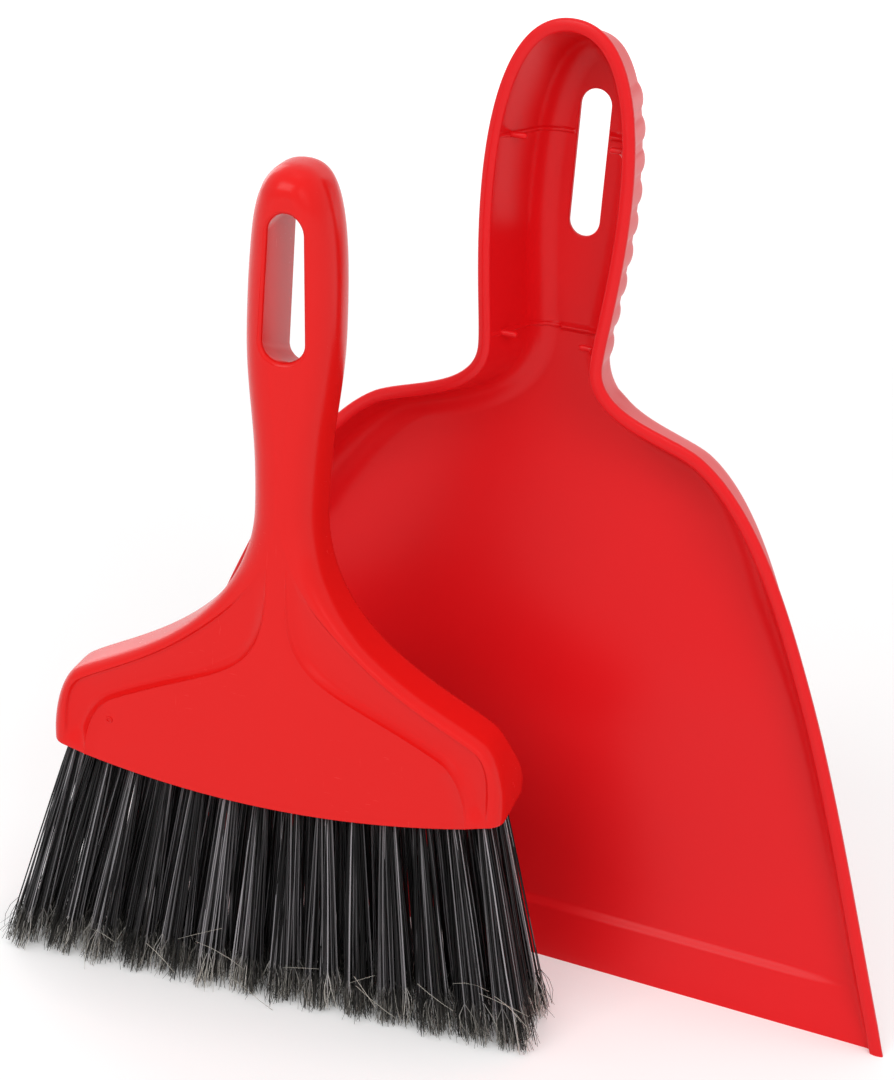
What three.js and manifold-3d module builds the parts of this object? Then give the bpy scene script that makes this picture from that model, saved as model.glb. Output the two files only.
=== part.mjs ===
// A dustpan and hand brush: a one-piece moulded pan stands on its mouth, and the brush
// stands in front of it on its bristles. Millimetres, +Z up, the open side faces -Y.
import * as THREE from 'three';
import { mergeVertices } from 'three/addons/utils/BufferGeometryUtils.js';
import Module from 'manifold-3d';

const wasm = await Module();
wasm.setup();

// ---- Dustpan: sizes across, along (up from the mouth) and deep (back from the rim) ----
const mouthWidth = 300;
const panLean = 5;             // degrees, the pan leans back
const sideTopWidth = 215;      // where the straight side turns into the shoulder
const sideTopRise = 123;
const shoulderWidth = 120;
const shoulderBelowNeck = 23.6;
const neckWidth = 44.6;
const neckRise = 220;
const gripWidth = 52.8;        // widest across the handle
const gripAboveNeck = 55;
const handleLength = 112;      // from the neck to the tip
const rimWidth = 4.4;
const rimRound = 1.3;
const beadDrop = 3;            // how far down the outside the rim bead reaches
const panWall = 2.4;
const lipWall = 1.4;
const wallDraft = 9;           // degrees off square to the rim
const lipDepth = 3;
const creaseRise = 19;         // the entry ramp ends here
const creaseDepth = 8;
const slopeRise = 100;         // the floor starts to fall away here
const slopeDepth = 11.5;
const channelAboveNeck = 2;    // the handle's channel is level from here
const channelDepth = 31;
const bowlFillet = 16;
const channelFillet = 9;
const panSlotWidth = 11;
const panSlotLength = 50;
const panSlotFromTip = 26;
const snapsAboveNeck = [4, 71]; // the ribs and the pin pairs that grip the stored brush
const ribThick = 1.4;
const ribProud = 0.8;
const ribTop = 3;              // how far under the rim a rib starts
const pinDiameter = 2.2;
const pinReach = 6;
const pinDepth = 8;
const scallopPitch = 10.6;
const scallopFromNeck = -3;
const scallopFromTip = 17;
const scallopLength = 8.4;
const scallopProud = 1;
const rooted = 0.6;            // how far a raised detail runs into its wall

// ---- Brush: sizes across, up from the lowest point of its underside, and deep ----
const brushLeft = -56;         // its middle, seen from the middle of the pan's mouth
const brushAhead = 49;
const brushTurn = 7.1;         // degrees
const bristleLength = 72;
const bodyHeight = 221.8;
const bowRadius = 334;         // the underside is bowed, so the tufts fan out
const blockWidth = 161;
const blockWidestUp = 13.5;
const footWidth = 156;
const footDrop = 6;            // the block runs this far past its underside before it is cut
const flankWidth = 145.2;      // where the rounded ends turn into the hollow shoulders
const flankUp = 38;
const shoulderUp = 60;         // the shoulders run into the stem from here
const stemWidth = 22.5;
const stemUp = 106;
const brushGripWidth = 30.6;
const brushGripUp = 168.5;
const blockDepth = 28;
const gripDepth = 27;
const blockRound = 6;
const flankRound = 2.5;
const gripRound = 9;
const blockBackRound = 1.5;
const flankBackRound = 8;
const flankBack = 10;          // the flanks' back edges lie this far behind the middle
const skin = 2.6;
const hollowInset = 7.6;       // the hollow back starts this far inside the outline
const brushSlotWidth = 13;
const brushSlotLength = 48;
const brushSlotFromTip = 13.8;
const tunnelWall = 2.2;
const panelFootWidth = 136;    // the raised middle panel on the front
const panelBendWidth = 117;
const panelBendUp = 30.3;
const panelWaistWidth = 6.8;
const panelWaistUp = 82;
const wingSink = 3;            // the wings beside the panel lie this far below it
const wingRim = 3;
const blockRoof = 11;          // solid plastic between the tuft holes and the hollow back
const bracesUp = [78, 124];
const braceThick = 2;

// ---- Tufts and their wire anchors ----
const rowNames = ['back', 'middle', 'front'];
const rowPitch = 7;
const tuftsPerLongRow = 14;    // in the front and back rows; the middle has one less
const tuftFromEnd = 4;
const backingThick = 3;
const fit = 0.3;               // clearance between touching pieces
const pocketWall = 1.8;
const holeDiameter = 5.6;
const holeDepth = 10;
const rootDiameter = 4.2;
const strandsPerTuft = 8;
const strandThick = 1;
const rootSpread = 1.7;
const tipSpread = 5.4;
const rowFlare = 2.3;          // the rows stand this many times further apart at their tips
const anchorTall = 1.8;
const anchorThick = 0.5;

// ---- Materials ----
const panRed = new THREE.MeshStandardMaterial({ color: 0xdc1c22, roughness: 0.32, metalness: 0 });
const brushRed = new THREE.MeshStandardMaterial({ color: 0xe0241f, roughness: 0.28, metalness: 0 });
const bristleBlack = new THREE.MeshStandardMaterial({ color: 0x2b2a2c, roughness: 0.55, metalness: 0 });
const wireSteel = new THREE.MeshStandardMaterial({ color: 0xb9bcc0, roughness: 0.35, metalness: 1 });

const radians = THREE.MathUtils.degToRad;
const lerp = THREE.MathUtils.lerp;
const vec2 = (x, y) => new THREE.Vector2(x, y);
const spare = 1;               // cutting bodies run this far past what they cut

// ---- Solids ----
// A closed geometry with its corners merged and its flattened triangles left out.
function welded(geometry) {
  const bare = new THREE.BufferGeometry();
  bare.setAttribute('position', geometry.getAttribute('position').clone());
  if (geometry.index) bare.setIndex(geometry.index.clone());
  const merged = mergeVertices(bare, 1e-3);
  const corners = merged.index.array;
  const kept = [];
  for (let i = 0; i < corners.length; i += 3) {
    const [a, b, c] = [corners[i], corners[i + 1], corners[i + 2]];
    if (a !== b && b !== c && c !== a) kept.push(a, b, c);
  }
  merged.setIndex(kept);
  return merged;
}

function solid(geometry) {
  const clean = welded(geometry);
  return new wasm.Manifold(new wasm.Mesh({
    numProp: 3,
    vertProperties: new Float32Array(clean.getAttribute('position').array),
    triVerts: new Uint32Array(clean.index.array),
  }));
}

function geometryOf(manifold) {
  const mesh = manifold.getMesh();
  const geometry = new THREE.BufferGeometry();
  geometry.setAttribute('position', new THREE.BufferAttribute(new Float32Array(mesh.vertProperties), 3));
  geometry.setIndex(new THREE.BufferAttribute(new Uint32Array(mesh.triVerts), 1));
  geometry.computeVertexNormals();
  return geometry;
}

function piece(parent, name, manifold, material) {
  const mesh = new THREE.Mesh(geometryOf(manifold), material);
  mesh.name = name;
  parent.add(mesh);
}

function indexed(positions, index) {
  const geometry = new THREE.BufferGeometry();
  geometry.setAttribute('position', new THREE.Float32BufferAttribute(positions, 3));
  geometry.setIndex(index);
  return solid(geometry);
}

// A shape drawn across and up, made solid between two depths along Y.
function slab(shape, from, to) {
  const geometry = new THREE.ExtrudeGeometry(shape, { depth: to - from, bevelEnabled: false, curveSegments: 6 });
  geometry.rotateX(Math.PI / 2);
  geometry.translate(0, to, 0);
  return solid(geometry);
}

function box(wide, deep, tall, x, y, z) {
  return solid(new THREE.BoxGeometry(wide, deep, tall).translate(x, y, z));
}

// A slot outline with round ends, from its lowest to its highest point.
function slotShape(width, low, high) {
  const r = width / 2;
  const shape = new THREE.Shape();
  shape.absarc(0, high - r, r, 0, Math.PI, false);
  shape.absarc(0, low + r, r, Math.PI, 2 * Math.PI, false);
  shape.closePath();
  return shape;
}

// ---- Outlines: the right half, from the foot up to the tip ----
// A heading off straight up, leaning towards the middle line.
function heading(degrees) {
  return vec2(-Math.sin(radians(degrees)), Math.cos(radians(degrees)));
}

// A Bezier span that leaves and arrives at given headings. Each pull is a share of the
// straight distance between its ends.
function span(from, leave, leaveShare, to, arrive, arriveShare) {
  const chord = from.distanceTo(to);
  const first = from.clone().addScaledVector(heading(leave), leaveShare * chord);
  const second = to.clone().addScaledVector(heading(arrive), -arriveShare * chord);
  return new THREE.CubicBezierCurve(from, first, second, to);
}

// A place on an outline: the point and the direction that points out of the solid, which is
// straight up where the outline ends on the middle line.
function place(curve, t) {
  const point = curve.getPoint(t);
  const tangent = curve.getTangent(t);
  const out = point.x < 1e-6 ? vec2(0, 1) : vec2(tangent.y, -tangent.x);
  return { point, out };
}

function placesAlong(spans) {
  const places = [place(spans[0].curve, 0)];
  for (const { curve, steps } of spans) {
    for (let i = 1; i <= steps; i += 1) places.push(place(curve, i / steps));
  }
  return places;
}

function inward({ point, out }, by) {
  return point.clone().addScaledVector(out, -by);
}

const mirrored = (points) => points.map((p) => vec2(-p.x, p.y)).reverse();

// Where a curve that climbs all the way reaches a given height.
function reach(curve, height) {
  let low = 0;
  let high = 1;
  for (let i = 0; i < 30; i += 1) {
    const mid = (low + high) / 2;
    if (curve.getPoint(mid).y < height) low = mid;
    else high = mid;
  }
  return (low + high) / 2;
}

// A solid lofted from rings. Each ring is a closed mirrored section: 'front' and 'back' list
// [inset, depth] pairs from the outer edge inwards, both of the same length.
function loft(places, sectionAt) {
  const positions = [];
  const index = [];
  let count = 0;
  for (const spot of places) {
    const { front, back } = sectionAt(spot);
    const corner = ([inset, depth], side) => {
      const p = inward(spot, inset);
      return [side * p.x, depth, p.y];
    };
    const ring = [
      ...front.map((pair) => corner(pair, 1)),
      ...front.map((pair) => corner(pair, -1)).reverse(),
      ...back.map((pair) => corner(pair, -1)),
      ...back.map((pair) => corner(pair, 1)).reverse(),
    ];
    count = ring.length;
    positions.push(...ring.flat());
  }
  for (let j = 0; j + 1 < places.length; j += 1) {
    for (let k = 0; k < count; k += 1) {
      const a = j * count + k;
      const b = j * count + ((k + 1) % count);
      index.push(a, b + count, b, a, a + count, b + count);
    }
  }
  // The cap under the first ring joins each front corner to the back corner behind it.
  for (let k = 0; k + 1 < count / 2; k += 1) {
    const across = count - 1 - k;
    index.push(k, across - 1, across, k, k + 1, across - 1);
  }
  return indexed(positions, index);
}

// A value that eases from one size to another between two heights.
function eased(start, end, low, high, height) {
  return lerp(start, end, THREE.MathUtils.smoothstep(height, low, high));
}

// ---- Dustpan ----
const panLength = neckRise + handleLength;
const channelRise = neckRise + channelAboveNeck;
const mouthCorner = vec2(mouthWidth / 2, 0);
const sideTop = vec2(sideTopWidth / 2, sideTopRise);
const shoulder = vec2(shoulderWidth / 2, neckRise - shoulderBelowNeck);
const neck = vec2(neckWidth / 2, neckRise);
const grip = vec2(gripWidth / 2, neckRise + gripAboveNeck);
const panTip = vec2(0, panLength);
const sideSpan = span(mouthCorner, 18.9, 0.307, sideTop, 22.8, 0.292);
const shoulderSpan = span(sideTop, 22.8, 0.343, shoulder, 59, 0.286);
const neckSpan = span(shoulder, 59, 0.27, neck, 0, 0.36);
const gripSpan = span(neck, 0, 0.145, grip, 0, 0.453);
const crownSpan = span(grip, 0, 0.525, panTip, 90, 0.3);

// The floor's depth behind the rim: entry ramp, gentle floor, then down to the channel.
function floorDepth(height) {
  if (height < creaseRise) return lerp(lipDepth, creaseDepth, Math.max(height, 0) / creaseRise);
  const slope = (slopeDepth - creaseDepth) / (slopeRise - creaseRise);
  if (height < slopeRise) return creaseDepth + slope * (height - creaseRise);
  const k = Math.min((height - slopeRise) / (channelRise - slopeRise), 1);
  const carried = slope * (channelRise - slopeRise) * k * (1 - k) * (1 - k);
  return eased(slopeDepth, channelDepth, 0, 1, k) + carried;
}

function panSection(spot) {
  const draft = radians(wallDraft);
  const along = (inset) => inward(spot, inset).y;
  const wanted = eased(bowlFillet, channelFillet, sideTopRise, channelRise, spot.point.y);
  let depth = floorDepth(spot.point.y);
  let fillet = 0;
  let floorInset = 0;
  for (let pass = 0; pass < 4; pass += 1) {
    fillet = Math.min(wanted, 0.85 * (depth - rimRound));
    const straight = depth - rimRound - fillet * (1 - Math.sin(draft));
    floorInset = rimWidth + straight * Math.tan(draft) + fillet * Math.cos(draft);
    depth = floorDepth(along(floorInset));
  }
  const wall = eased(lipWall, panWall, 0, creaseRise, along(floorInset));
  const bead = Math.min(beadDrop, 0.45 * (depth + wall));
  const round = Math.min(rimRound, 0.4 * bead);
  const softened = round * (1 - Math.SQRT1_2);
  const arc = (radius) => [0, 1, 2, 3].map((i) => {
    const angle = lerp(draft, Math.PI / 2, i / 3);
    return [floorInset - radius * Math.cos(angle), depth - fillet + radius * Math.sin(angle)];
  });
  const outside = arc(fillet + wall);
  const underBead = outside[0][0] - (outside[0][1] - bead) * Math.tan(draft);
  return {
    front: [[0, round], [round, 0], [rimWidth - round, 0], [rimWidth, round], ...arc(fillet)],
    back: [[0, bead - round], [softened, bead - softened], [round, bead], [underBead, bead], ...outside],
  };
}

// The loft starts below the floor that the mouth stands on, and is dense round the crease.
function panPlaces() {
  const start = place(sideSpan, 0);
  const below = { point: start.point.clone().addScaledVector(heading(18.9), -2 * rimWidth), out: start.out };
  const crease = reach(sideSpan, creaseRise + (rimWidth + bowlFillet / 2) * start.out.y);
  const sideSteps = 6;
  const side = [0, crease / 2, crease].map((t) => place(sideSpan, t));
  for (let i = 1; i <= sideSteps; i += 1) side.push(place(sideSpan, lerp(crease, 1, i / sideSteps)));
  const upper = placesAlong([
    { curve: shoulderSpan, steps: 7 },
    { curve: neckSpan, steps: 8 },
    { curve: gripSpan, steps: 4 },
    { curve: crownSpan, steps: 9 },
  ]);
  return [below, ...side, ...upper.slice(1)];
}

// The handle's outer edge at a height.
function handleEdge(height) {
  const curve = height < grip.y ? gripSpan : crownSpan;
  return curve.getPoint(reach(curve, height));
}

// How far in from the outer edge the handle's inner wall stands at a depth.
function wallInset(depth) {
  return rimWidth + (depth - rimRound) * Math.tan(radians(wallDraft));
}

// A low rib round the inside of the channel, from wall to wall.
function channelRib(height) {
  const edge = handleEdge(height);
  const fillet = panSection({ point: edge, out: vec2(1, 0) }).front.slice(-4);
  const inside = [[wallInset(ribTop), ribTop], ...fillet].map(([inset, depth]) => vec2(edge.x - inset, depth));
  const middle = vec2(0, ribTop);
  const shifted = (by) => inside.map((p) => {
    const away = p.clone().sub(middle).setLength(by);
    return p.clone().add(away);
  });
  const outer = shifted(rooted);
  const inner = inside.map((p) => p.clone().lerp(middle, ribProud / p.distanceTo(middle)));
  const shape = new THREE.Shape([...outer, ...mirrored(outer), ...mirrored(inner).reverse(), ...inner.reverse()]);
  const geometry = new THREE.ExtrudeGeometry(shape, { depth: ribThick, bevelEnabled: false });
  return solid(geometry.translate(0, 0, height - ribThick / 2));
}

function snapPin(height, side) {
  const root = handleEdge(height).x - wallInset(pinDepth) + rooted;
  const length = pinReach + rooted;
  const pin = new THREE.CylinderGeometry(pinDiameter / 2, pinDiameter / 2, length, 8);
  pin.rotateZ(Math.PI / 2);
  return solid(pin.translate(side * (root - length / 2), pinDepth, height));
}

// One raised scallop down the outside of the handle's wall.
function scallop(height, side) {
  const tall = channelDepth - channelFillet - beadDrop;
  const middle = beadDrop + tall / 2;
  const bump = new THREE.CylinderGeometry(1, 1, tall, 12);
  bump.scale(scallopProud + rooted, 1, scallopLength / 2);
  bump.rotateZ(radians(wallDraft));
  bump.translate(handleEdge(height).x - wallInset(middle) + panWall - rooted, middle, height);
  if (side < 0) bump.rotateY(Math.PI).translate(0, 0, 2 * height);
  return solid(bump);
}

function dustpanShell() {
  let shell = loft(panPlaces(), panSection);
  for (const above of snapsAboveNeck) {
    shell = shell.add(channelRib(neckRise + above));
    for (const side of [-1, 1]) shell = shell.add(snapPin(neckRise + above, side));
  }
  const scallops = Math.floor((handleLength - scallopFromNeck - scallopFromTip) / scallopPitch);
  for (let i = 0; i < scallops; i += 1) {
    const height = neckRise + scallopFromNeck + scallopPitch * (i + 0.5);
    for (const side of [-1, 1]) shell = shell.add(scallop(height, side));
  }
  const slotTop = panLength - panSlotFromTip;
  const slot = slab(slotShape(panSlotWidth, slotTop - panSlotLength, slotTop), channelDepth / 2, 2 * channelDepth);
  const underFloor = new THREE.BoxGeometry(2 * mouthWidth, mouthWidth, mouthWidth).translate(0, 0, -mouthWidth / 2);
  return shell.subtract(slot).subtract(solid(underFloor.rotateX(radians(panLean))));
}

// ---- Brush body ----
const foot = vec2(footWidth / 2, -footDrop);
const blockEnd = vec2(blockWidth / 2, blockWidestUp);
const flank = vec2(flankWidth / 2, flankUp);
const stem = vec2(stemWidth / 2, stemUp);
const brushGrip = vec2(brushGripWidth / 2, brushGripUp);
const brushTip = vec2(0, bodyHeight);
const footSpan = span(foot, -14, 0.27, blockEnd, 0, 0.27);
const endSpan = span(blockEnd, 0, 0.374, flank, 54.7, 0.251);
const flankSpan = span(flank, 54.7, 0.152, stem, 0, 0.488);
const handleSpan = span(stem, 0, 0.495, brushGrip, 0, 0.378);
const capSpan = span(brushGrip, 0, 0.752, brushTip, 90, 0.208);

// A size that changes from the block to the flanks and again from them to the handle.
function alongBrush(height, block, flanks, handle) {
  return eased(eased(block, flanks, blockWidestUp, flankUp, height), handle, shoulderUp, stemUp, height);
}

function brushSection({ point }) {
  const arc = (round, edge) => [0, 1, 2, 3].map((i) => {
    const angle = (i / 3) * (Math.PI / 2);
    return [round * (1 - Math.cos(angle)), edge - Math.sign(edge) * round * (1 - Math.sin(angle))];
  });
  const ahead = alongBrush(point.y, blockDepth, blockDepth, gripDepth) / 2;
  const behind = alongBrush(point.y, blockDepth / 2, flankBack, gripDepth / 2);
  return {
    front: arc(alongBrush(point.y, blockRound, flankRound, gripRound), -ahead),
    back: arc(alongBrush(point.y, blockBackRound, flankBackRound, gripRound), behind),
  };
}

// The round bar that bows the underside, centred above it: what lies inside it is kept.
function bowBar(radius) {
  return solid(new THREE.CylinderGeometry(radius, radius, 2 * blockDepth, 160).translate(0, 0, bowRadius));
}

// What lies between the underside and a smaller bow, over a width and two depths.
function underStrip(wide, front, back, deep) {
  const block = box(wide, front + back, 2 * blockDepth, 0, (back - front) / 2, 0);
  return block.subtract(bowBar(bowRadius - deep));
}

const pocketWide = footWidth - 2 * pocketWall;
const pocketHalf = blockDepth / 2 - pocketWall;
const frontFace = -blockDepth / 2;
const brushSlotTop = bodyHeight - brushSlotFromTip;
const brushSlotFoot = brushSlotTop - brushSlotLength;

// The raised middle panel's right edge, up from the underside.
const panelFoot = vec2(panelFootWidth / 2, 0);
const panelBend = vec2(panelBendWidth / 2, panelBendUp);
const panelWaist = vec2(panelWaistWidth / 2, panelWaistUp);
const panelLow = span(panelFoot, -1, 0.354, panelBend, 57, 0.327);
const panelHigh = span(panelBend, 62, 0.568, panelWaist, 0, 0.479);

// The sunk wing between the panel and the rim along the shoulder.
function wingShape(side) {
  const rim = placesAlong([{ curve: endSpan, steps: 3 }, { curve: flankSpan, steps: 8 }]);
  const outer = rim.filter(({ point }) => point.y < panelWaistUp).map((spot) => inward(spot, wingRim));
  const panel = [...panelLow.getPoints(5), ...panelHigh.getPoints(8).slice(1)];
  const inner = panel.filter((p) => p.y > blockWidestUp - wingRim).reverse();
  return new THREE.Shape([...outer, ...inner].map((p) => vec2(side * p.x, p.y)));
}

// The angle from the middle of the bow to the last tuft of a long row.
const endAngle = (footWidth / 2 - tuftFromEnd) / bowRadius;
const holeTop = bowRadius - (bowRadius - backingThick - holeDepth) * Math.cos(endAngle);

// The hollow back's outline, from above the tuft holes to the tip.
function hollowShape() {
  const spots = placesAlong([
    { curve: flankSpan, steps: 8 },
    { curve: handleSpan, steps: 3 },
    { curve: capSpan, steps: 7 },
  ]);
  const right = spots.map((spot) => inward(spot, hollowInset)).filter((p) => p.y > holeTop + blockRoof);
  const start = vec2(right[0].x, holeTop + blockRoof);
  return new THREE.Shape([start, ...right, ...mirrored(right).slice(1), vec2(-start.x, start.y)]);
}

// Behind the wings the hollow starts further back than it does inside the rounded handle. It
// ends where the slot's round top begins, so the tip is solid.
function hollowBack() {
  const behindWings = slab(hollowShape(), frontFace + wingSink + skin, blockDepth);
  const inHandle = slab(hollowShape(), skin - gripDepth / 2, blockDepth)
    .intersect(box(blockWidth, 4 * blockDepth, bodyHeight, 0, 0, stemUp + bodyHeight / 2));
  const tunnel = slotShape(brushSlotWidth + 2 * tunnelWall, brushSlotFoot - tunnelWall, brushSlotTop + tunnelWall);
  const top = brushSlotTop - brushSlotWidth / 2;
  let hollow = behindWings.add(inHandle).subtract(slab(tunnel, frontFace, blockDepth + spare));
  hollow = hollow.intersect(box(blockWidth, 4 * blockDepth, top, 0, 0, top / 2));
  for (const up of bracesUp) {
    hollow = hollow.subtract(box(blockWidth, blockDepth, braceThick, 0, frontFace / 2, up));
  }
  return hollow;
}

function brushBody() {
  let body = loft(placesAlong([
    { curve: footSpan, steps: 2 },
    { curve: endSpan, steps: 4 },
    { curve: flankSpan, steps: 9 },
    { curve: handleSpan, steps: 4 },
    { curve: capSpan, steps: 8 },
  ]), brushSection);
  body = body.intersect(bowBar(bowRadius));
  for (const side of [-1, 1]) {
    body = body.subtract(slab(wingShape(side), frontFace - spare, frontFace + wingSink));
  }
  body = body.subtract(hollowBack());
  body = body.subtract(slab(slotShape(brushSlotWidth, brushSlotFoot, brushSlotTop), -blockDepth, blockDepth));
  body = body.subtract(underStrip(pocketWide, pocketHalf, pocketHalf, backingThick + fit));
  const holes = tufts().map((tuft) => tuftBar(tuft, holeDiameter, 6, -fit - spare, holeDepth));
  return body.subtract(wasm.Manifold.union(holes));
}

// ---- Tufts ----
// Each tuft stands square to the bowed underside: its row and its angle along the bow.
function tufts() {
  const list = [];
  rowNames.forEach((name, row) => {
    const count = row === 1 ? tuftsPerLongRow - 1 : tuftsPerLongRow;
    for (let i = 0; i < count; i += 1) {
      const angle = (2 * i - (count - 1)) * endAngle / (tuftsPerLongRow - 1);
      list.push({ row, angle, out: (row - 1) * rowPitch });
    }
  });
  return list;
}

// Moves a body drawn round a tuft's axis to the tuft, its middle this far above the backing.
function atTuft(geometry, tuft, above) {
  const radius = bowRadius - backingThick - above;
  return solid(geometry.translate(0, -tuft.out, -radius).rotateY(-tuft.angle).translate(0, 0, bowRadius));
}

function tuftBar(tuft, diameter, sides, from, to) {
  const bar = new THREE.CylinderGeometry(diameter / 2, diameter / 2, to - from, sides);
  return atTuft(bar.rotateX(Math.PI / 2), tuft, (from + to) / 2);
}

// One three-sided strand from the backing down to the floor. The last one stands in the
// middle of its tuft and the others in a ring, which opens towards the tips.
function strand(tuft, number) {
  const ring = number === strandsPerTuft - 1 ? 0 : 1;
  const turn = 2 * Math.PI * number / (strandsPerTuft - 1) + tuft.angle * bowRadius / rowPitch + tuft.row;
  const tipRadius = bowRadius + bristleLength;
  const rootRadius = bowRadius - backingThick / 2;
  const rootAngle = tuft.angle + ring * rootSpread * Math.cos(turn) / rootRadius;
  const tipAngle = tuft.angle + ring * tipSpread * Math.cos(turn) / tipRadius;
  const rootOut = tuft.out + ring * rootSpread * Math.sin(turn);
  const tipOut = tuft.out * rowFlare + ring * tipSpread * Math.sin(turn);
  const root = [rootRadius * Math.sin(rootAngle), -rootOut, bowRadius - rootRadius * Math.cos(rootAngle)];
  const tip = [tipRadius * Math.tan(tipAngle), -tipOut, -bristleLength];
  const corners = [root, tip].flatMap(([x, y, z]) => [0, 1, 2].flatMap((k) => {
    const angle = 2 * Math.PI * k / 3 + turn;
    return [x + strandThick / 2 * Math.cos(angle), y + strandThick / 2 * Math.sin(angle), z];
  }));
  return indexed(corners, [0, 1, 2, 3, 5, 4, 0, 3, 4, 0, 4, 1, 1, 4, 5, 1, 5, 2, 2, 5, 3, 2, 3, 0]);
}

// One row of tufts, fused to its own strip of the backing.
function bristleRow(row) {
  const edge = pocketHalf - fit;
  const front = row === 2 ? edge : (row - 0.5) * rowPitch - fit / 2;
  const back = row === 0 ? edge : (1.5 - row) * rowPitch - fit / 2;
  const backing = underStrip(pocketWide - 2 * fit, front, back, backingThick).intersect(bowBar(bowRadius));
  const parts = [backing];
  for (const tuft of tufts().filter((one) => one.row === row)) {
    parts.push(tuftBar(tuft, rootDiameter, 4, -spare, holeDepth - anchorTall - 2 * fit));
    for (let i = 0; i < strandsPerTuft; i += 1) parts.push(strand(tuft, i));
  }
  return wasm.Manifold.union(parts);
}

// The flat wire that pins a tuft into its hole, across the hexagonal hole's flats.
function anchor(tuft) {
  const wide = holeDiameter * Math.cos(Math.PI / 6) - 2 * fit;
  return atTuft(new THREE.BoxGeometry(wide, anchorThick, anchorTall), tuft, holeDepth - fit - anchorTall / 2);
}

// ---- Assembly ----
const pan = new THREE.Group();
pan.rotation.x = -radians(panLean);
piece(pan, 'dustpan_shell', dustpanShell(), panRed);

const brush = new THREE.Group();
brush.position.set(brushLeft, -brushAhead, bristleLength);
brush.rotation.z = radians(brushTurn);
piece(brush, 'brush_body', brushBody(), brushRed);
rowNames.forEach((name, row) => piece(brush, `bristles_${name}`, bristleRow(row), bristleBlack));
tufts().forEach((tuft, i) => {
  piece(brush, `tuft_anchor_${String(i + 1).padStart(2, '0')}`, anchor(tuft), wireSteel);
});

// The origin is the middle of the whole set's footprint box, on the floor.
const group = new THREE.Group();
group.add(pan, brush);
group.updateMatrixWorld(true);
const middle = new THREE.Box3().setFromObject(group, true).getCenter(new THREE.Vector3());
group.position.set(-middle.x, -middle.y, 0);

export default group;
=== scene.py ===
"""A dustpan and a hand brush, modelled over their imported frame.

The pan stands on its mouth and the brush stands in front of it on its bristles. Everything is
in metres. Each item is drawn in its own frame: x across, y back from its front, z up.
"""

import math

import bmesh
import bpy
import numpy as np
from bpy.props import FloatProperty, FloatVectorProperty, IntProperty, PointerProperty
from mathutils import Matrix, Vector


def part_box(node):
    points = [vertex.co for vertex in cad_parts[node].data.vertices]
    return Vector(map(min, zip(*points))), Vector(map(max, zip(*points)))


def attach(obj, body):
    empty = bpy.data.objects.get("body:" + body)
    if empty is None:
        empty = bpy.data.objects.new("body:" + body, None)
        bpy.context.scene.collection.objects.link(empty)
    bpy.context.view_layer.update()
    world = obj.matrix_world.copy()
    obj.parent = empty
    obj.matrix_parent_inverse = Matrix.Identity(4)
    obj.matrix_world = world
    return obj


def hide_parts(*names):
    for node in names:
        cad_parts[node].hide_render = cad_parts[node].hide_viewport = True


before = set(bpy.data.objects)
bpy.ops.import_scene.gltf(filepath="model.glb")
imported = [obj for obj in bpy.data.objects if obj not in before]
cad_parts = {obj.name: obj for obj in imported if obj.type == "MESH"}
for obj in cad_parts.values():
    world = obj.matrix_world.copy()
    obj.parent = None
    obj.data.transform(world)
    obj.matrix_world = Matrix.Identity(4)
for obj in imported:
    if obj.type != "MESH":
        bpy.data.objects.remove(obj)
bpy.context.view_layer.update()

bl_info = {
    "name": "Dustpan and Brush",
    "version": (1, 0, 0),
    "blender": (4, 5, 0),
    "location": "View3D > Sidebar > Dustpan",
    "description": "Builds a moulded dustpan and its hand brush",
    "category": "Object",
}

MM = 0.001
WELD = 1e-6                    # points closer than this are one point
SMOOTH_ANGLE = math.radians(38)

# The photograph's frame and the camera that took it.
PHOTO_SIZE = (894, 1080)
FOCAL_PIXELS = 2500
SENSOR = 36.0
CAMERA_PLACE = (0.2822, -0.7057, 0.5021)
CAMERA_TURN = -22.81           # degrees off straight ahead, to the left
CAMERA_TILT = -24.07
CAMERA_ROLL = 3.08


# ---- Settings --------------------------------------------------------------------------------

def length(name, millimetres, description):
    return FloatProperty(name=name, description=description, default=millimetres * MM, unit="LENGTH")


def angle(name, degrees, description):
    return FloatProperty(
        name=name, description=description, default=math.radians(degrees), subtype="ANGLE"
    )


def colour(name, red, green, blue, description):
    return FloatVectorProperty(
        name=name, description=description, default=(red, green, blue), size=3, subtype="COLOR"
    )


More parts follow.
